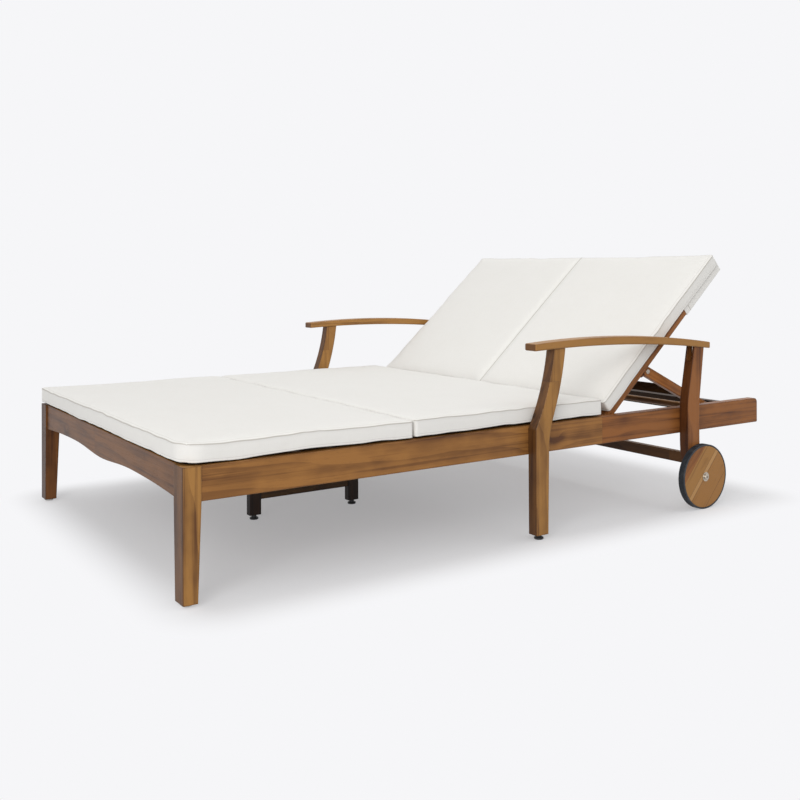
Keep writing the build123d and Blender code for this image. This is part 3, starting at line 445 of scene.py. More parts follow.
def bevelled(tree, reach):
    """The normal softened within a reach of the edges, and how well the face agrees with it."""
    soft = add_node(tree, "ShaderNodeBevel", samples=4)
    feed(tree, reach, soft.inputs["Radius"])
    true = add_node(tree, "ShaderNodeNewGeometry")
    facing = vector_step(tree, "DOT_PRODUCT", soft.outputs[0], true.outputs["True Normal"])
    return soft.outputs[0], facing["Value"]


# Edge marks: agreement of the normals over which each mask fades (the pale edge, partly wear and partly
# painted highlight, and the darker band along the edges), and how many times further the darker band
# reaches
WORN_AND_HIGHLIGHT_FADE, DARK_RIM_FADE = (0.80, 0.995), (0.90, 0.998)
DARK_RIM_REACH = 2.8


def make_edge_marks_group():
    """Masks that are 1 on outside edges and fade over the reach, broken up by noise: a pale edge, partly
    wear and partly painted highlight, and a wider darker band.
    """
    inputs = [("Vector", VECTOR, None), ("Reach", FLOAT, 0.002), ("Amount", FLOAT, 1.0)]
    outputs = [("Mask", FLOAT), ("Darker rim", FLOAT), ("Normal", VECTOR)]
    tree, given, result = new_group("Edge wear, highlight and rim", inputs, outputs)
    normal, facing = bevelled(tree, given["Reach"])
    bent = ramp(tree, facing, *WORN_AND_HIGHLIGHT_FADE, 1.0, 0.0)
    broken = noise_value(tree, given["Vector"], scale=55.0, detail=4.0)
    mask = calculate(tree, "MULTIPLY", bent, ramp(tree, broken, 0.30, 0.62))
    mask = calculate(tree, "MULTIPLY", mask, given["Amount"], clamp=True)
    tree.links.new(mask, result["Mask"])
    tree.links.new(normal, result["Normal"])
    # A wider band along every edge, broken up by noise, where the colour is made darker
    wide = bevelled(tree, calculate(tree, "MULTIPLY", given["Reach"], DARK_RIM_REACH))[1]
    uneven = noise_value(tree, given["Vector"], scale=16.0, detail=4.0)
    stain = calculate(tree, "MULTIPLY", ramp(tree, wide, *DARK_RIM_FADE, 1.0, 0.0),
                      ramp(tree, uneven, 0.28, 0.66, 0.25, 1.0))
    tree.links.new(stain, result["Darker rim"])


# Weave: how far the yarns stray, and stretch along and across a slub
YARN_STRAY, YARN_CLOUD = (0.0012, 0.0012, 0), 60.0
SLUB_ALONG, SLUB_ACROSS = 26.0, 900.0


def make_weave_group():
    """Plain weave with uneven yarns and slubs, on a vector whose X and Y lie in the cloth, with painted
    shade in the gaps between the yarns.
    """
    inputs = [("Vector", VECTOR, None), ("Pitch", FLOAT, 0.001), ("Thread", COLOUR, None),
              ("Hollow", COLOUR, None)]
    outputs = [("Color", COLOUR), ("Height", FLOAT), ("Roughness", FLOAT)]
    tree, given, result = new_group("Canvas weave", inputs, outputs)
    vector = given["Vector"]

    # Warp and weft, each on top at every second crossing
    wobble = add_node(tree, "ShaderNodeTexNoise", noise_dimensions="2D")
    feed_all(tree, wobble, {"Vector": vector, "Scale": YARN_CLOUD})
    strayed = split_axes(tree, scaled(tree, wobble.outputs["Color"], YARN_STRAY, vector))
    turns = calculate(tree, "DIVIDE", math.pi, given["Pitch"])
    warp, weft = [calculate(tree, "SINE", calculate(tree, "MULTIPLY", strayed[axis], turns))
                  for axis in (0, 1)]
    crossing = calculate(tree, "MULTIPLY_ADD", calculate(tree, "MULTIPLY", warp, weft), 0.5, 0.5)
    height = add_node(tree, "ShaderNodeMix", data_type="FLOAT")
    feed_all(tree, height, {"Factor": crossing, 2: calculate(tree, "ABSOLUTE", warp),
                            3: calculate(tree, "ABSOLUTE", weft)})
    level = height.outputs[0]

    # Slubs and cloudy patches
    slubs = [noise_value(tree, scaled(tree, vector, run), detail=2.0)
             for run in ((SLUB_ACROSS, SLUB_ALONG, 1.0), (SLUB_ALONG, SLUB_ACROSS, 1.0))]
    slub = ramp(tree, calculate(tree, "MAXIMUM", *slubs), 0.52, 0.80)
    cloudy = noise_value(tree, vector, scale=9.0, detail=3.0)
    # Low points of the weave take the hollow colour as painted shade between the yarns; slubs and cloudy
    # patches add tone at random
    share = calculate(tree, "MULTIPLY_ADD", level, -0.55, 0.51)
    share = calculate(tree, "MULTIPLY_ADD", slub, 0.34, share)
    share = calculate(tree, "MULTIPLY_ADD", cloudy, 0.22, share, clamp=True)
    colour = blend_colours(tree, share, given["Thread"], given["Hollow"])
    tree.links.new(colour, result["Color"])
    tree.links.new(calculate(tree, "MULTIPLY_ADD", slub, 0.5, level), result["Height"])
    tree.links.new(calculate(tree, "MULTIPLY_ADD", level, -0.08, 0.94), result["Roughness"])


def new_material(name):
    """A material with its Principled shader, and where the surface is."""
    material = bpy.data.materials.new(name)
    material.use_nodes = True
    tree = material.node_tree
    tree.nodes.clear()
    shader = add_node(tree, "ShaderNodeBsdfPrincipled")
    output = add_node(tree, "ShaderNodeOutputMaterial")
    tree.links.new(shader.outputs[0], output.inputs["Surface"])
    place = add_node(tree, "ShaderNodeTexCoord")
    return material, tree, shader, place.outputs


# Wood

# Turns that bring a board's own length onto X, its depth onto Y and its thickness onto Z
ALONG_X, ALONG_Y, ALONG_Z = "X", "Y", "Z"
GRAIN_TURNS = {
    ALONG_X: (0.0, 0.0, 0.0),
    ALONG_Y: (0.0, 0.0, -math.pi / 2),
    ALONG_Z: (0.0, math.pi / 2, 0.0),
}
BOARD_WEAR_AND_HIGHLIGHT, WHEEL_WEAR_AND_HIGHLIGHT = 0.5, 0.8
WORN_AND_HIGHLIGHT_SHARE = 0.6
GRAIN_DEPTH = 0.00035
SATIN = {"Coat Weight": 0.05, "Coat Roughness": 0.35, "Specular IOR Level": 0.25}


def finish_wood(tree, shader, colour, grain, height, wear):
    """Satin stain over a board's colour, paler on its edges: partly thin stain where they are eased,
    partly a painted highlight.
    """
    worn_and_highlight = calculate(tree, "MULTIPLY", wear["Mask"], WORN_AND_HIGHLIGHT_SHARE)
    colour = blend_colours(tree, worn_and_highlight, colour, opaque(settings("lounger_wood").worn_and_highlight))
    relief = bump(tree, height, GRAIN_DEPTH, 0.6, wear["Normal"])
    feed_all(tree, shader, {"Base Color": colour, "Roughness": grain["Roughness"],
                            "Normal": relief, **SATIN})


def wood_material(name, axis, board, tone, figure=1.0, painted_shade=1.0, start=(0, 0, 0), lift=0.0,
                  sawn_and_shade_tint=True):
    """Board wood with its grain along one axis, or along the reclined back if it is lifted."""
    wood = settings("lounger_wood")
    material, tree, shader, place = new_material(name)
    level = turned(tree, place["Object"], (-lift, 0, 0))
    # Painted shade scales the board's colours: darker for boards in the lounger's shade, lighter for the
    # apron and the prop arms
    grain = place_group(
        tree, "Board grain", Vector=turned(tree, level, GRAIN_TURNS[axis], start),
        Light=opaque(wood.light, painted_shade), Dark=opaque(wood.dark, painted_shade),
        Knot=opaque(wood.knot, painted_shade), Red=opaque(wood.red), Stave=wood.stave, Board=board,
        Figure=figure, Tone=tone)
    wear = place_group(tree, "Edge wear, highlight and rim", Vector=place["Object"], Reach=wood.edge,
                       Amount=BOARD_WEAR_AND_HIGHLIGHT)
    # The colour is made darker in a band along every edge
    rim_darkened = tinted(tree, grain["Color"], wood.rim)
    colour = blend_colours(tree, wear["Darker rim"], grain["Color"], rim_darkened)
    # Faces that look along Y take the sawn tint: end grain where the board runs along Y, and painted shade
    # on every such face
    if sawn_and_shade_tint:
        facing = calculate(tree, "ABSOLUTE", split_axes(tree, place["Normal"])["Y"])
        share = ramp(tree, facing, 0.55, 0.9)
        colour = blend_colours(tree, share, colour, tinted(tree, colour, wood.sawn_and_shade))
    finish_wood(tree, shader, colour, grain, grain["Height"], wear)
    return material


# Wheel: boards glued edge to edge, with a narrow pale lath between them
WHEEL_LEAN = math.radians(42)
WHEEL_START, WHEEL_BOARD, WHEEL_STAVE = (0.4, 0.0, 0.0), 0.062, 2.0
WHEEL_EDGE = 0.0016
LATH_OFFSET, LATH_HALF = 0.009, 0.007
GLUE_LINE = (0.0002, 0.0007)
REAR_BOARD_TINT = (0.96, 0.92, 0.90)


def wheel_material():
    """Wheel wood, whose boards lean across the wheel."""
    wood = settings("lounger_wood")
    material, tree, shader, place = new_material("Wheel wood")
    centred = turned(tree, place["Object"], (0, 0, 0), (0, -WHEEL_PLACE.y, -WHEEL_PLACE.z))
    leaning = turned(tree, centred, (WHEEL_LEAN, 0, 0))
    grain = place_group(
        tree, "Board grain", Vector=turned(tree, leaning, GRAIN_TURNS[ALONG_Z], WHEEL_START),
        Light=opaque(wood.light), Dark=opaque(wood.dark), Knot=opaque(wood.knot),
        Red=opaque(wood.red), Stave=WHEEL_STAVE, Board=WHEEL_BOARD, Figure=0.9, Tone=0.05)
    wear = place_group(tree, "Edge wear, highlight and rim", Vector=place["Object"], Reach=WHEEL_EDGE,
                       Amount=WHEEL_WEAR_AND_HIGHLIGHT)
    across = calculate(tree, "ADD", split_axes(tree, leaning)["Y"], LATH_OFFSET)
    off_middle = calculate(tree, "ABSOLUTE", across)
    lath = calculate(tree, "LESS_THAN", off_middle, LATH_HALF)
    off_glue = calculate(tree, "ABSOLUTE", calculate(tree, "SUBTRACT", off_middle, LATH_HALF))
    glue = ramp(tree, off_glue, *GLUE_LINE, 1.0, 0.0)
    rear_board = calculate(tree, "GREATER_THAN", across, LATH_HALF)
    colour = blend_colours(tree, rear_board, grain["Color"], opaque(REAR_BOARD_TINT), "MULTIPLY")
    for mask, most, stain in ((lath, 0.55, wood.worn_and_highlight), (glue, 0.8, wood.knot)):
        colour = blend_colours(tree, calculate(tree, "MULTIPLY", mask, most), colour,
                               opaque(stain))
    height = calculate(tree, "MULTIPLY_ADD", glue, -1.0, grain["Height"])
    finish_wood(tree, shader, colour, grain, height, wear)
    return material


def dress(nodes, material):
    """Give CAD nodes a material."""
    for name in nodes:
        mesh = NODES[name].data
        mesh.materials.clear()
        mesh.materials.append(material)


def both(stem):
    """The right and the left node of a pair."""
    return [f"{stem}_right", f"{stem}_left"]


# Boards: nodes, axis of the grain, depth of the strips, tone, figure, painted shade, start of the figure
# The painted shade darkens boards in the lounger's shade, most of all those under the deck, and above 1
# paints light onto the apron and prop arms
FRAME_BOARDS = [
    (both("side_rail"), ALONG_Y, 0.120, 0.36, 0.9, 1.0, (-0.279, 0.02, 0.0)),
    (["front_leg_right"], ALONG_Z, 0.120, 0.45, 1.0, 1.0, (3.45, 0.05, 0.05)),
    (["front_leg_left"], ALONG_Z, 0.120, 0.46, 1.0, 0.62, (0.61, 0.07, 0.02)),
    (["front_apron"], ALONG_X, 0.090, 0.42, 0.9, 1.25, (0.05, 0.04, 0.02)),
    (both("arm_post"), ALONG_Z, 0.150, 0.40, 0.8, 1.0, (0.42, 0.01, 0.03)),
    (both("rear_post"), ALONG_Z, 0.150, 0.40, 0.9, 1.0, (0.27, 0.05, 0.01)),
    (both("armrest"), ALONG_Y, 0.150, 0.20, 0.8, 1.0, (1.85, 0.0, 0.04)),
    (["tail_rail"], ALONG_X, 0.080, 0.52, 1.0, 0.35, (0.61, 0.02, 0.03)),
    (["rear_stretcher"], ALONG_X, 0.060, 0.56, 1.0, 0.7, (0.29, 0.01, 0.06)),
    (["mid_rail"], ALONG_X, 0.080, 0.55, 1.0, 0.6, (0.87, 0.04, 0.01)),
    (["centre_beam"], ALONG_Y, 0.080, 0.62, 1.0, 0.45, (0.17, 0.03, 0.02)),
    (["centre_leg_front", "centre_leg_rear"], ALONG_Z, 0.060, 0.74, 1.0, 0.12,
     (0.53, 0.02, 0.05)),
    (["centre_stretcher"], ALONG_Y, 0.060, 0.74, 1.0, 0.3, (0.71, 0.05, 0.03)),
    (both("seat_ledger"), ALONG_Y, 0.050, 0.60, 1.0, 1.0, (0.37, 0.01, 0.04)),
    (both("prop_rack"), ALONG_Y, 0.080, 0.52, 1.0, 1.0, (0.93, 0.03, 0.05)),
]
BACK_BOARDS = [
    (both("back_stile"), ALONG_Y, 0.070, 0.46, 1.0, 1.0, (0.19, 0.04, 0.03)),
    (["back_top_rail", "back_bottom_rail"], ALONG_X, 0.070, 0.54, 1.0, 1.0, (0.47, 0.01, 0.02)),
    (["back_batten"], ALONG_Y, 0.060, 0.58, 1.0, 1.0, (0.67, 0.05, 0.04)),
    (both("prop_block"), ALONG_Y, 0.060, 0.50, 1.0, 1.0, (0.83, 0.02, 0.01)),
]
PROP_BOARDS = [
    (both("prop_arm"), ALONG_Y, 0.060, 0.20, 0.9, 1.3, (0.31, 0.06, 0.02)),
    (["prop_cross_board"], ALONG_X, 0.060, 0.42, 0.9, 0.35, (0.57, 0.03, 0.04)),
    (["prop_foot_bar"], ALONG_X, 0.060, 0.48, 0.9, 1.0, (0.97, 0.01, 0.05)),
]
PROP_DROP = math.radians(25.51)
SLAT_DEPTH, SLAT_TONE = 0.066, 0.6


class LOUNGER_OT_wood(Operator):
    """Finish every board of the frame, the back, the prop and the wheels"""
    bl_idname = "lounger.wood"
    bl_label = "Wood"

    def execute(self, context):
        make_grain_group()
        make_edge_marks_group()
        for boards, lift in ((FRAME_BOARDS, 0.0), (BACK_BOARDS, RECLINE),
                             (PROP_BOARDS, -PROP_DROP)):
            for nodes, *finish in boards:
                name = nodes[0].replace("_", " ").capitalize()
                dress(nodes, wood_material(f"{name} wood", *finish, lift=lift))
        for part, lift in (("seat", 0.0), ("back", RECLINE)):
            slats = wood_material(f"{part.capitalize()} slat wood", ALONG_X, SLAT_DEPTH,
                                  SLAT_TONE, lift=lift, sawn_and_shade_tint=False)
            dress([f"{part}_slats"], slats)
        dress(both("wheel_disc"), wheel_material())
        return {"FINISHED"}


# Fittings

# Plated steel: two tones of its turning marks, its pale edges (partly worn plating, partly a painted
# highlight), and the reach of those edges
STEEL_PALE, STEEL_DARK = (0.56, 0.50, 0.42), (0.40, 0.355, 0.30)
STEEL_EDGE_HIGHLIGHT, STEEL_EDGE_REACH = (0.68, 0.63, 0.55), 0.0006
RUBBER, RUBBER_DUST = (0.018, 0.022, 0.028), (0.10, 0.10, 0.105)


def steel_material():
    """Bright plated steel with fine turning marks."""
    material, tree, shader, place = new_material("Plated steel")
    marks = noise_value(tree, scaled(tree, place["Object"], (2400.0, 300.0, 300.0)), detail=3.0)
    wear = place_group(tree, "Edge wear, highlight and rim", Vector=place["Object"], Reach=STEEL_EDGE_REACH,
                       Amount=0.7)
    colour = blend_colours(tree, marks, opaque(STEEL_PALE), opaque(STEEL_DARK))
    # Paler edges: partly worn plating, partly a painted highlight
    colour = blend_colours(tree, wear["Mask"], colour, opaque(STEEL_EDGE_HIGHLIGHT))
    feed_all(tree, shader, {
        "Base Color": colour, "Metallic": 1.0,
        "Roughness": calculate(tree, "MULTIPLY_ADD", marks, 0.25, 0.18),
        "Normal": bump(tree, marks, 0.00008, 0.4, wear["Normal"])})
    return material


def rubber_material():
    """Blue-black tyre rubber with a little dust in it."""
    material, tree, shader, place = new_material("Tyre rubber")
    grime = noise_value(tree, place["Object"], scale=42.0, detail=5.0, roughness=0.65)
    specks = noise_value(tree, place["Object"], scale=900.0, detail=2.0)
    dust = calculate(tree, "MULTIPLY", ramp(tree, grime, 0.45, 0.75), 0.45)
    feed_all(tree, shader, {
        "Base Color": blend_colours(tree, dust, opaque(RUBBER), opaque(RUBBER_DUST)),
        "Roughness": calculate(tree, "MULTIPLY_ADD", grime, 0.25, 0.45),
        "Normal": bump(tree, specks, 0.0002, 0.5)})
    return material


def plastic_material(name, colour, pale, roughness):
    """Moulded plastic with a fine texture and scuffs."""
    material, tree, shader, place = new_material(name)
    scuff = ramp(tree, noise_value(tree, place["Object"], scale=120.0, detail=4.0), 0.45, 0.72)
    grain = noise_value(tree, place["Object"], scale=1800.0, detail=2.0)
    scuffed = calculate(tree, "MULTIPLY", scuff, 0.5)
    feed_all(tree, shader, {
        "Base Color": blend_colours(tree, scuffed, opaque(colour), opaque(pale)),
        "Roughness": calculate(tree, "MULTIPLY_ADD", scuff, 0.2, roughness),
        "Normal": bump(tree, grain, 0.0001, 0.5)})
    return material


# Plastics: nodes, colour, colour where they are scuffed, roughness
PLASTICS = {
    "Foot plastic": ([f"levelling_foot_{place}" for place in ("right", "left", "front", "rear")],
                     (0.012, 0.012, 0.013), (0.07, 0.07, 0.07), 0.4),
    "Washer plastic": (["hinge_washers", "axle_washers"],
                       (0.03, 0.03, 0.03), (0.10, 0.10, 0.10), 0.45),
    "Glide plastic": (["leg_glides"], (0.74, 0.73, 0.70), (0.45, 0.43, 0.40), 0.5),
}


class LOUNGER_OT_fittings(Operator):
    """Finish the steel, rubber and plastic fittings"""
    bl_idname = "lounger.fittings"
    bl_label = "Fittings"

    def execute(self, context):
        bolts = ["armrest_bolts", "rack_screws", "hinge_pins", "post_bolts", "axle_bolts",
                 "prop_bolts"]
        dress(bolts, steel_material())
        dress(both("tyre"), rubber_material())
        for name, (nodes, *finish) in PLASTICS.items():
            dress(nodes, plastic_material(name, *finish))
        return {"FINISHED"}


# Cushions

# Shares of a seam that a vertex has on the boxed edge, in the sewn channel and on topstitching
BOXED, CHANNEL, STITCHED = 1.0, 0.8, 0.5

# Tolerances of such a share, of a place in metres, and of a direction
NEAR, TINY, STRAIGHT = 0.01, 1e-5, 0.99

# Canvas in the filling simulation
CANVAS = {"quality": 5, "tension_stiffness": 25, "compression_stiffness": 25,
          "shear_stiffness": 12, "bending_stiffness": 1.5}

# What a cover is cut to: its box, the most that it may rise, its corners' radii in plan, the end
# at which it meets the next cushion, the depth of its channel, the rise of its underside's rim,
# and whether it lies on the deck
Cut = namedtuple("Cut", "half_width start end height crown radii joined channel rim on_deck")


def cloth_material():
    """Off-white canvas, darker along its seams: partly the stitching, partly painted shade in the seam's
    groove.
    """
    cloth = settings("lounger_cloth")
    material, tree, shader, place = new_material("Canvas")
    weave = place_group(tree, "Canvas weave", Vector=place["UV"], Pitch=cloth.pitch,
                        Thread=opaque(cloth.thread), Hollow=opaque(cloth.hollow_and_gap_shade))
    seam = add_node(tree, "ShaderNodeAttribute", attribute_name="seam")
    # The seam's line is painted darker: partly the stitching, partly painted shade beside the welt and in
    # the channel
    line = calculate(tree, "MULTIPLY", ramp(tree, seam.outputs["Fac"], 0.12, 0.75), 0.75)
    creases = noise_value(tree, place["Object"], scale=14.0, detail=3.0, distortion=0.6)
    broad = bump(tree, creases, 0.004, 0.35)
    feed_all(tree, shader, {
        "Base Color": blend_colours(tree, line, weave["Color"], opaque(cloth.stitch)),
        "Roughness": weave["Roughness"], "Sheen Weight": 0.15, "Sheen Roughness": 0.5,
        "Specular IOR Level": 0.2,
        "Normal": bump(tree, weave["Height"], 0.00025, 0.6, broad)})
    return material


def underside_and_shadow_material():
    """Dark non-slip cloth under the cushions on the deck, near black, so that with the lower curve of the
    sides it also paints the shadow line under the cushions.
    """
    cloth = settings("lounger_cloth")
    material, tree, shader, place = new_material("Underside and shadow")
    weave = place_group(tree, "Canvas weave", Vector=place["UV"], Pitch=2 * cloth.pitch,
                        Thread=opaque(cloth.under), Hollow=opaque((0, 0, 0)))
    feed_all(tree, shader, {"Base Color": weave["Color"], "Roughness": 0.9,
                            "Specular IOR Level": 0.15,
                            "Normal": bump(tree, weave["Height"], 0.0004, 0.6)})
    return material


def cut_box(size, centre, cells):
    """A box cut into even cells, as a bmesh: its size, its centre and the cells' spacing."""
    bm = bmesh.new()
    bmesh.ops.create_cube(bm, size=1)
    bmesh.ops.scale(bm, vec=size, verts=bm.verts)
    bmesh.ops.translate(bm, vec=centre, verts=bm.verts)
    for axis in range(3):
        edges = [edge for edge in bm.edges if is_along(edge, axis)]
        cuts = max(1, round(size[axis] / cells[axis]) - 1)
        bmesh.ops.subdivide_edges(bm, edges=edges, cuts=cuts, use_grid_fill=True)
    return bm


def is_along(edge, axis):
    """Whether an edge runs along one axis."""
    run = edge.verts[1].co - edge.verts[0].co
    return abs(run[axis]) > STRAIGHT * run.length


def add_loop(bm, axis, place):
    """Cut a loop of edges where a plane across one axis crosses."""
    normal = Vector([float(number == axis) for number in range(3)])
    geometry = bm.verts[:] + bm.edges[:] + bm.faces[:]
    bmesh.ops.bisect_plane(bm, geom=geometry, dist=1e-6, plane_co=place * normal, plane_no=normal)


def add_seam_loops(bm, cut, reach, stitch):
    """Cut loops close to each side of the seams, of the topstitching and of the channel."""
    beside = (stitch - reach / 2, stitch, stitch + reach / 2)
    for inward in (reach, *beside):
        for side in (-1, 1):
            add_loop(bm, 0, side * (cut.half_width - inward))
        add_loop(bm, 1, cut.start + inward)
        add_loop(bm, 1, cut.end - inward)
    for level in (*beside, cut.height - reach):
        add_loop(bm, 2, level)
    if cut.channel:
        for side in (-1, 0, 1):
            add_loop(bm, 0, side * reach)


def map_cloth(bm):
    """Lay the cloth's own coordinates, in metres, on each panel."""
    layer = bm.loops.layers.uv.new("cloth")
    bm.normal_update()
    for face in bm.faces:
        normal = [abs(value) for value in face.normal]
        panel = normal.index(max(normal))
        first, second = ((1, 2), (0, 2), (0, 1))[panel]
        for loop in face.loops:
            loop[layer].uv = (loop.vert.co[first], loop.vert.co[second])


def inward_of(place, cut):
    """How far a point lies inside the outline of a cushion."""
    return min(cut.half_width - abs(place.x), place.y - cut.start, cut.end - place.y)


def round_corners(bm, cut):
    """Bring the square corners in to round ones, carrying the cells near them along."""
    for vert in bm.verts:
        for (corner_x, corner_y), radius in cut.radii.items():
            edge_y = cut.start if corner_y < 0 else cut.end
            across = corner_x * vert.co.x - (cut.half_width - radius)
            along = corner_y * (vert.co.y - edge_y) + radius
            if across > 0 and along > 0:
                factor = max(across, along) / math.hypot(across, along)
                vert.co.x = corner_x * (cut.half_width - radius + across * factor)
                vert.co.y = edge_y + corner_y * (along * factor - radius)


def mark_seams(bm, cut, stitch):
    """Give each vertex its share of a seam, and none where the cushion meets the next."""
    plain = 1.5 * stitch
    seam = bm.verts.layers.float.new("seam")
    for vert in bm.verts:
        in_middle = abs(vert.co.x) < cut.half_width - plain
        if cut.joined is not None and in_middle and abs(vert.co.y - cut.joined) < plain:
            continue
        inward = inward_of(vert.co, cut)
        on_top = abs(vert.co.z - cut.height) < TINY
        on_side = inward < TINY
        if on_top and on_side:
            vert[seam] = BOXED
        elif cut.channel and on_top and abs(vert.co.x) < TINY:
            vert[seam] = CHANNEL
        elif (on_top and abs(inward - stitch) < TINY
              or on_side and abs(vert.co.z - stitch) < TINY):
            vert[seam] = STITCHED


def fill_by_pressure(piece, rises, pinned):
    """Swell the cover with its filling, and hold its rise and its bulge to what it lets them be."""
    making = settings("lounger_cushions")
    before = [vert.co.copy() for vert in piece.data.vertices]
    cloth = piece.modifiers.new("Filling", "CLOTH")
    cloth.settings.use_pressure = True
    cloth.settings.uniform_pressure_force = making.pressure
    for name, value in CANVAS.items():
        setattr(cloth.settings, name, value)
    cloth.settings.effector_weights.gravity = 0
    cloth.collision_settings.use_collision = False
    if pinned:
        group = piece.vertex_groups.new(name="Sewn down")
        group.add(pinned, 1.0, "REPLACE")
        cloth.settings.vertex_group_mass = group.name
    scene = bpy.context.scene
    cloth.point_cache.frame_start = 1
    cloth.point_cache.frame_end = making.frames
    for number in range(1, making.frames + 1):
        scene.frame_set(number)
    filled = piece.evaluated_get(bpy.context.evaluated_depsgraph_get())
    after = [vert.co.copy() for vert in filled.data.vertices]
    piece.modifiers.remove(cloth)
    piece.vertex_groups.clear()
    scene.frame_set(1)
    for vert, old, new, rise in zip(piece.data.vertices, before, after, rises):
        move = new - old
        aside = math.hypot(move.x, move.y)
        held = making.bulge * math.tanh(aside / making.bulge) / aside if aside else 0
        vert.co = old + Vector((move.x * held, move.y * held, rise * math.tanh(move.z / rise)))
        vert.co.z = max(vert.co.z, 0)


def smoothed(piece):
    """Subdivide a piece's mesh once, for good."""
    modifier = piece.modifiers.new("Smooth", "SUBSURF")
    modifier.levels = modifier.render_levels = 1
    graph = bpy.context.evaluated_depsgraph_get()
    mesh = bpy.data.meshes.new_from_object(piece.evaluated_get(graph))
    piece.modifiers.remove(modifier)
    old = piece.data
    piece.data = mesh
    bpy.data.meshes.remove(old)
    for polygon in mesh.polygons:
        polygon.use_smooth = True


def link_mesh(bm, name):
    """A new object from a bmesh."""
    mesh = bpy.data.meshes.new(name)
    bm.to_mesh(mesh)
    bm.free()
    piece = bpy.data.objects.new(name, mesh)
    bpy.context.scene.collection.objects.link(piece)
    return piece


def underside_faces(piece, down=-0.4):
    """Give the faces that look down the second material; these include the lower curve of the sides, which
    paints the shadow line under the cushions.
    """
    for polygon in piece.data.polygons:
        if polygon.normal.z < down:
            polygon.material_index = 1


def make_cushion(name, cut):
    """One cushion, lying on its underside: cut, seamed, filled and smoothed."""
    making = settings("lounger_cushions")
    length = cut.end - cut.start
    bm = cut_box((2 * cut.half_width, length, cut.height),
                 (0, (cut.start + cut.end) / 2, cut.height / 2), 3 * (making.cell,))
    add_seam_loops(bm, cut, making.welt_half, making.topstitch)
    mark_seams(bm, cut, making.topstitch)
    map_cloth(bm)
    round_corners(bm, cut)
    bm.verts.index_update()
    layer = bm.verts.layers.float["seam"]
    middle = [vert for vert in bm.verts if abs(vert[layer] - CHANNEL) < NEAR]
    for vert in middle:
        vert.co.z += cut.crown - cut.channel
    pinned = [vert.index for vert in middle]
    rises = []
    for vert in bm.verts:
        inward = max(0.0, inward_of(vert.co, cut))
        hold = making.edge_hold * math.exp(-inward / making.edge_reach)
        rises.append(cut.crown * (1 - hold))
    piece = link_mesh(bm, name)
    fill_by_pressure(piece, rises, pinned)
    stand_out_seams(piece, making.welt)
    settle(piece, cut)
    smoothed(piece)
    return piece


# How far the cloth sinks beside the seam and along the stitching, as shares of the welt
BESIDE_SEAM, ALONG_STITCHES = -0.45, -0.3

# Shares of the edge's waves that a finer wave adds, and that the underside's rim takes up
FINE_WAVE, RIM_WAVE = 0.5, 0.8


def stand_out_seams(piece, welt):
    """Raise the seam's line from the cloth, and sink the cloth beside it."""
    mesh = piece.data
    shares = [item.value for item in mesh.attributes["seam"].data]
    moves = {}
    for edge in mesh.edges:
        for one, other in (edge.vertices, reversed(edge.vertices)):
            if shares[one] == BOXED and shares[other] < STITCHED:
                moves[other] = BESIDE_SEAM * welt
    for number, share in enumerate(shares):
        if share == BOXED:
            moves[number] = welt
        elif share > STITCHED - NEAR:
            moves[number] = ALONG_STITCHES * welt
    normals = [vert.normal.copy() for vert in mesh.vertices]
    for number, move in moves.items():
        mesh.vertices[number].co += normals[number] * move


def settle(piece, cut):
    """Let a full cover lie down: sides drawn in, an uneven edge, and a rim off the deck."""
    making = settings("lounger_cushions")
    band = making.rim_band
    for vert in piece.data.vertices:
        place = vert.co.copy()
        level = max(0.0, min(1.0, place.z / cut.height))
        along = max(0.0, min(1.0, (place.y - cut.start) / (cut.end - cut.start)))
        inward = max(0.0, inward_of(place, cut))
        edge = math.exp(-inward / making.slack_reach)
        drawn = making.draw * math.sin(math.pi * along) * edge * place.x / cut.half_width
        wave = (noise.noise(place / making.slack_run)
                + FINE_WAVE * noise.noise(3 * place / making.slack_run))
        vert.co.x -= drawn
        vert.co.z += making.slack * edge * level * wave
        at_heel = place.y - cut.start if cut.on_deck else band
        rim_inward = min(cut.half_width - abs(place.x), cut.end - place.y, at_heel)
        share = max(0.0, 1 - max(0.0, rim_inward) / band)
        lift = cut.rim * (1 + RIM_WAVE * wave) * share * share
        vert.co.z += lift * (1 - level) ** 2


class LOUNGER_OT_cushions(Operator):
    """Make up the foot, seat and back cushions"""
    bl_idname = "lounger.cushions"
    bl_label = "Cushions"

    def execute(self, context):
        make_weave_group()
        canvas, underside = cloth_material(), underside_and_shadow_material()
        making = settings("lounger_cushions")
        inset, touch, over = making.inset, -making.press, -making.overhang
        tight = {(x, y): making.corner for x in (-1, 1) for y in (-1, 1)}
        foot = {**tight, (1, -1): making.front_corner}
        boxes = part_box("foot_cushion"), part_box("seat_cushion"), flat_box("back_cushion")
        jobs = [("foot_cushion", over, touch, foot), ("seat_cushion", touch, inset, tight),
                ("back_cushion", inset, inset, tight)]
        for (low, high), (node, front, rear, radii) in zip(boxes, jobs):
            start, end = low.y + front, high.y - rear
            on_deck = node != "back_cushion"
            crown = making.crown if on_deck else making.back_crown
            cut = Cut(
                half_width=high.x - inset, start=start, end=end,
                height=high.z - low.z - crown, crown=crown, radii=radii,
                joined={"foot_cushion": end, "seat_cushion": start}.get(node),
                channel=0 if on_deck else making.channel,
                rim=making.rim if on_deck else making.back_rim, on_deck=on_deck)
            piece = make_cushion(f"{node}_cover", cut)
            piece.data.materials.append(canvas)
            if on_deck:
                piece.data.materials.append(underside)
                underside_faces(piece)
                place = Matrix.Translation((0, 0, boxes[0][0].z))
            else:
                place = BACK_PLACE @ Matrix.Translation((0, 0, low.z))
            piece.data.transform(place)
            piece.data.update()
            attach(piece, "base" if on_deck else "backrest")
            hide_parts(node)
        return {"FINISHED"}


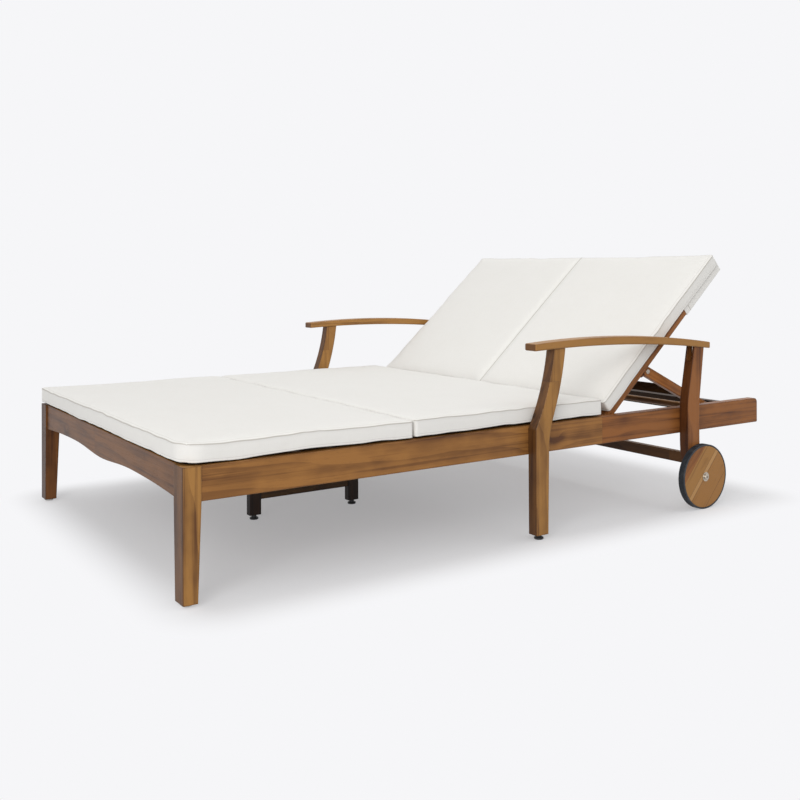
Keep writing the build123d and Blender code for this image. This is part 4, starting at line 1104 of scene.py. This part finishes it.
def flat_box(node):
    """The box of a node of the back in the back's own axes, with the hinge at the start."""
    flat = BACK_PLACE.inverted()
    corners = [flat @ vert.co for vert in NODES[node].data.vertices]
    low = Vector([min(corner[axis] for corner in corners) for axis in range(3)])
    high = Vector([max(corner[axis] for corner in corners) for axis in range(3)])
    return low, high


# Hood: thickness of the cloth, reach of its sewn edges, depth of its hem, and width of the lip
WALL, TIGHT, HEM, LIP = 0.0016, 0.0015, 0.022, 0.010

# Mesh: spacing of the cells, width of the hem's stitched line, first row of cells at the mouth,
# and the share of a seam that the hem's line has
HOOD_CELLS, HEM_LINE, FIRST_ROW, HEM_SEAM = (0.012, 0.012, 0.006), 0.0012, 0.003, 0.9

# Ripple of the rear panel: its height, its noise along the three axes, how far it leans towards
# the frame, and the share of it that is left at the top
RIPPLE, RIPPLE_NOISE, RIPPLE_RISE, RIPPLE_LEFT = 0.0007, (6, 9, 0.5), 0.4, 0.15


class LOUNGER_OT_hood(Operator):
    """Sew the hood that holds the back cushion to the top of the back frame"""
    bl_idname = "lounger.hood"
    bl_label = "Hood"

    def execute(self, context):
        low, high = flat_box("back_hood")
        high.z += WALL
        size = high - low
        bm = cut_box(size, (low + high) / 2, HOOD_CELLS)
        for place in (low.y + HEM, low.y + HEM - HEM_LINE, low.y + FIRST_ROW, high.y - TIGHT,
                      high.y - LIP):
            add_loop(bm, 1, place)
        for side in (-1, 1):
            for inward in (TIGHT, LIP):
                add_loop(bm, 0, side * (high.x - inward))
        for place in (low.z + TIGHT, high.z - TIGHT):
            add_loop(bm, 2, place)
        bm.normal_update()
        bmesh.ops.delete(bm, geom=self.open_faces(bm, high), context="FACES")
        seam = bm.verts.layers.float.new("seam")
        map_cloth(bm)
        for vert in bm.verts:
            if abs(vert.co.y - (low.y + HEM)) < TINY:
                vert[seam] = HEM_SEAM
        self.ripple_panel(bm, low, size)
        piece = link_mesh(bm, "back_hood_cover")
        smoothed(piece)
        thick = piece.modifiers.new("Wall", "SOLIDIFY")
        thick.thickness = WALL
        thick.offset = -1
        piece.data.materials.append(bpy.data.materials["Canvas"])
        piece.data.transform(BACK_PLACE)
        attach(piece, "backrest")
        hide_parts("back_hood")
        return {"FINISHED"}

    def open_faces(self, bm, high):
        """The faces at the hood's mouth, and those inside the lip that turns in over the frame."""
        faces = []
        for face in bm.faces:
            middle = face.calc_center_median()
            inside_lip = abs(middle.x) < high.x - LIP and middle.y < high.y - LIP
            if face.normal.y < -0.5 or face.normal.z > 0.5 and inside_lip:
                faces.append(face)
        return faces

    def ripple_panel(self, bm, low, size):
        """Let the panel behind the frame lie a little uneven towards its free hem."""
        along_x, along_y, level = RIPPLE_NOISE
        for vert in bm.verts:
            if vert.co.z < low.z + TINY:
                far = min(1.0, (vert.co.y - low.y) / size.y + RIPPLE_LEFT)
                wave = noise.noise(Vector((vert.co.x * along_x, vert.co.y * along_y, level)))
                vert.co.z += RIPPLE * (wave + RIPPLE_RISE) * (1 + RIPPLE_LEFT - far)


# Studio: the lamps' sizes, places and the points that they face
OVERHEAD = 5.0, (0.0, 1.8, 3.4), (0.0, 0.0, 0.2)
SIDE = 3.3, (4.2, -4.6, 2.4), (0.2, 0.0, 0.3)
SENSOR, FAR = 36, 60
FLOOR_RADIUS = 9
FOOTPRINT = 0.92


class LOUNGER_OT_studio(Operator):
    """Set the camera, the lamps, the floor and the background"""
    bl_idname = "lounger.studio"
    bl_label = "Studio"

    def execute(self, context):
        studio = settings("lounger_studio")
        scene = context.scene
        data = bpy.data.cameras.new("Camera")
        data.lens = studio.lens
        data.sensor_width = SENSOR
        data.shift_y = studio.shift
        data.clip_end = FAR
        camera = bpy.data.objects.new("Camera", data)
        level = Matrix.Rotation(studio.turn, 4, "Z") @ Matrix.Rotation(math.pi / 2, 4, "X")
        rolled = level @ Matrix.Rotation(studio.roll, 4, "Z")
        camera.matrix_world = Matrix.Translation(studio.eye) @ rolled
        scene.collection.objects.link(camera)
        scene.camera = camera
        scene.view_settings.view_transform = "Standard"
        self.add_lamp("Overhead", studio.top, *OVERHEAD)
        self.add_lamp("Side", studio.key, *SIDE)
        self.add_world(studio)
        self.add_floor(studio)
        return {"FINISHED"}

    def add_lamp(self, name, power, size, place, target):
        """A square soft lamp that faces a point."""
        data = bpy.data.lights.new(name, "AREA")
        data.energy = power
        data.size = size
        lamp = bpy.data.objects.new(name, data)
        lamp.location = place
        facing = (Vector(target) - Vector(place)).to_track_quat("-Z", "Y")
        lamp.rotation_euler = facing.to_euler()
        bpy.context.scene.collection.objects.link(lamp)

    def seen_rays(self, tree):
        """1 for rays that see the background: straight, mirrored and refracted ones."""
        path = add_node(tree, "ShaderNodeLightPath").outputs
        seen = calculate(tree, "ADD", path["Is Camera Ray"], path["Is Glossy Ray"])
        return calculate(tree, "ADD", seen, path["Is Transmission Ray"], clamp=True)

    def mix_shaders(self, tree, share, first, second, kind):
        """Two shaders mixed by a share, into a world's or a material's output."""
        mix = add_node(tree, "ShaderNodeMixShader")
        feed_all(tree, mix, {0: share, 1: first.outputs[0], 2: second.outputs[0]})
        tree.links.new(mix.outputs[0], add_node(tree, kind).inputs["Surface"])

    def add_world(self, studio):
        """Even light from all round, with the backdrop's colour where it is seen."""
        world = bpy.data.worlds.new("Studio")
        bpy.context.scene.world = world
        world.use_nodes = True
        tree = world.node_tree
        tree.nodes.clear()
        light = add_node(tree, "ShaderNodeBackground")
        light.inputs["Strength"].default_value = studio.sky
        backdrop = add_node(tree, "ShaderNodeBackground")
        backdrop.inputs["Color"].default_value = opaque(studio.backdrop)
        self.mix_shaders(tree, self.seen_rays(tree), light, backdrop, "ShaderNodeOutputWorld")

    def add_floor(self, studio):
        """A pale floor that takes the shadow near the lounger and fades into the backdrop."""
        bm = bmesh.new()
        bmesh.ops.create_circle(bm, cap_ends=True, cap_tris=False, segments=96,
                                radius=FLOOR_RADIUS)
        floor = link_mesh(bm, "Floor")
        material = bpy.data.materials.new("Floor")
        material.use_nodes = True
        tree = material.node_tree
        tree.nodes.clear()
        place = add_node(tree, "ShaderNodeTexCoord").outputs["Object"]
        seen = self.seen_rays(tree)
        split = split_axes(tree, place)
        beyond = []
        for axis in (0, 1):
            past = calculate(tree, "SUBTRACT", calculate(tree, "ABSOLUTE", split[axis]),
                             FOOTPRINT * CAD_BOX[1][axis])
            beyond.append(calculate(tree, "MAXIMUM", past, 0.0))
        away = vector_step(tree, "LENGTH", join_axes(tree, *beyond))["Value"]
        fade = ramp(tree, away, 0.0, studio.fade, studio.veil, 1.0)
        speckle = noise_value(tree, place, scale=300.0, detail=3.0)
        diffuse = add_node(tree, "ShaderNodeBsdfPrincipled")
        feed_all(tree, diffuse, {
            "Base Color": blend_colours(tree, seen, opaque(studio.bounce), opaque(studio.floor)),
            "Roughness": 0.85, "Specular IOR Level": 0.1,
            "Normal": bump(tree, speckle, 0.0002, 0.15)})
        glow = add_node(tree, "ShaderNodeEmission")
        glow.inputs["Color"].default_value = opaque(studio.backdrop)
        self.mix_shaders(tree, calculate(tree, "MULTIPLY", fade, seen), diffuse, glow,
                         "ShaderNodeOutputMaterial")
        floor.data.materials.append(material)


STEPS = [LOUNGER_OT_studio, LOUNGER_OT_wood, LOUNGER_OT_fittings, LOUNGER_OT_cushions,
         LOUNGER_OT_hood]
GROUPS = {
    "lounger_wood": LoungerWood,
    "lounger_cloth": LoungerCloth,
    "lounger_cushions": LoungerCushions,
    "lounger_studio": LoungerStudio,
}


class LOUNGER_PT_panel(Panel):
    """The lounger's steps and settings"""
    bl_idname = "LOUNGER_PT_panel"
    bl_label = "Lounger"
    bl_space_type = "VIEW_3D"
    bl_region_type = "UI"
    bl_category = "Lounger"

    def draw(self, context):
        for step in STEPS:
            self.layout.operator(step.bl_idname)
        for group in GROUPS:
            for name in GROUPS[group].__annotations__:
                self.layout.prop(getattr(context.scene, group), name)


CLASSES = [*GROUPS.values(), *STEPS, LOUNGER_PT_panel]


def register():
    for entry in CLASSES:
        bpy.utils.register_class(entry)
    for name, group in GROUPS.items():
        setattr(bpy.types.Scene, name, PointerProperty(type=group))


def unregister():
    for name in GROUPS:
        delattr(bpy.types.Scene, name)
    for entry in reversed(CLASSES):
        bpy.utils.unregister_class(entry)


def main():
    """Make the lounger and its studio."""
    register()
    for step in STEPS:
        group, name = step.bl_idname.split(".")
        getattr(getattr(bpy.ops, group), name)()


if __name__ == "__main__":
    main()
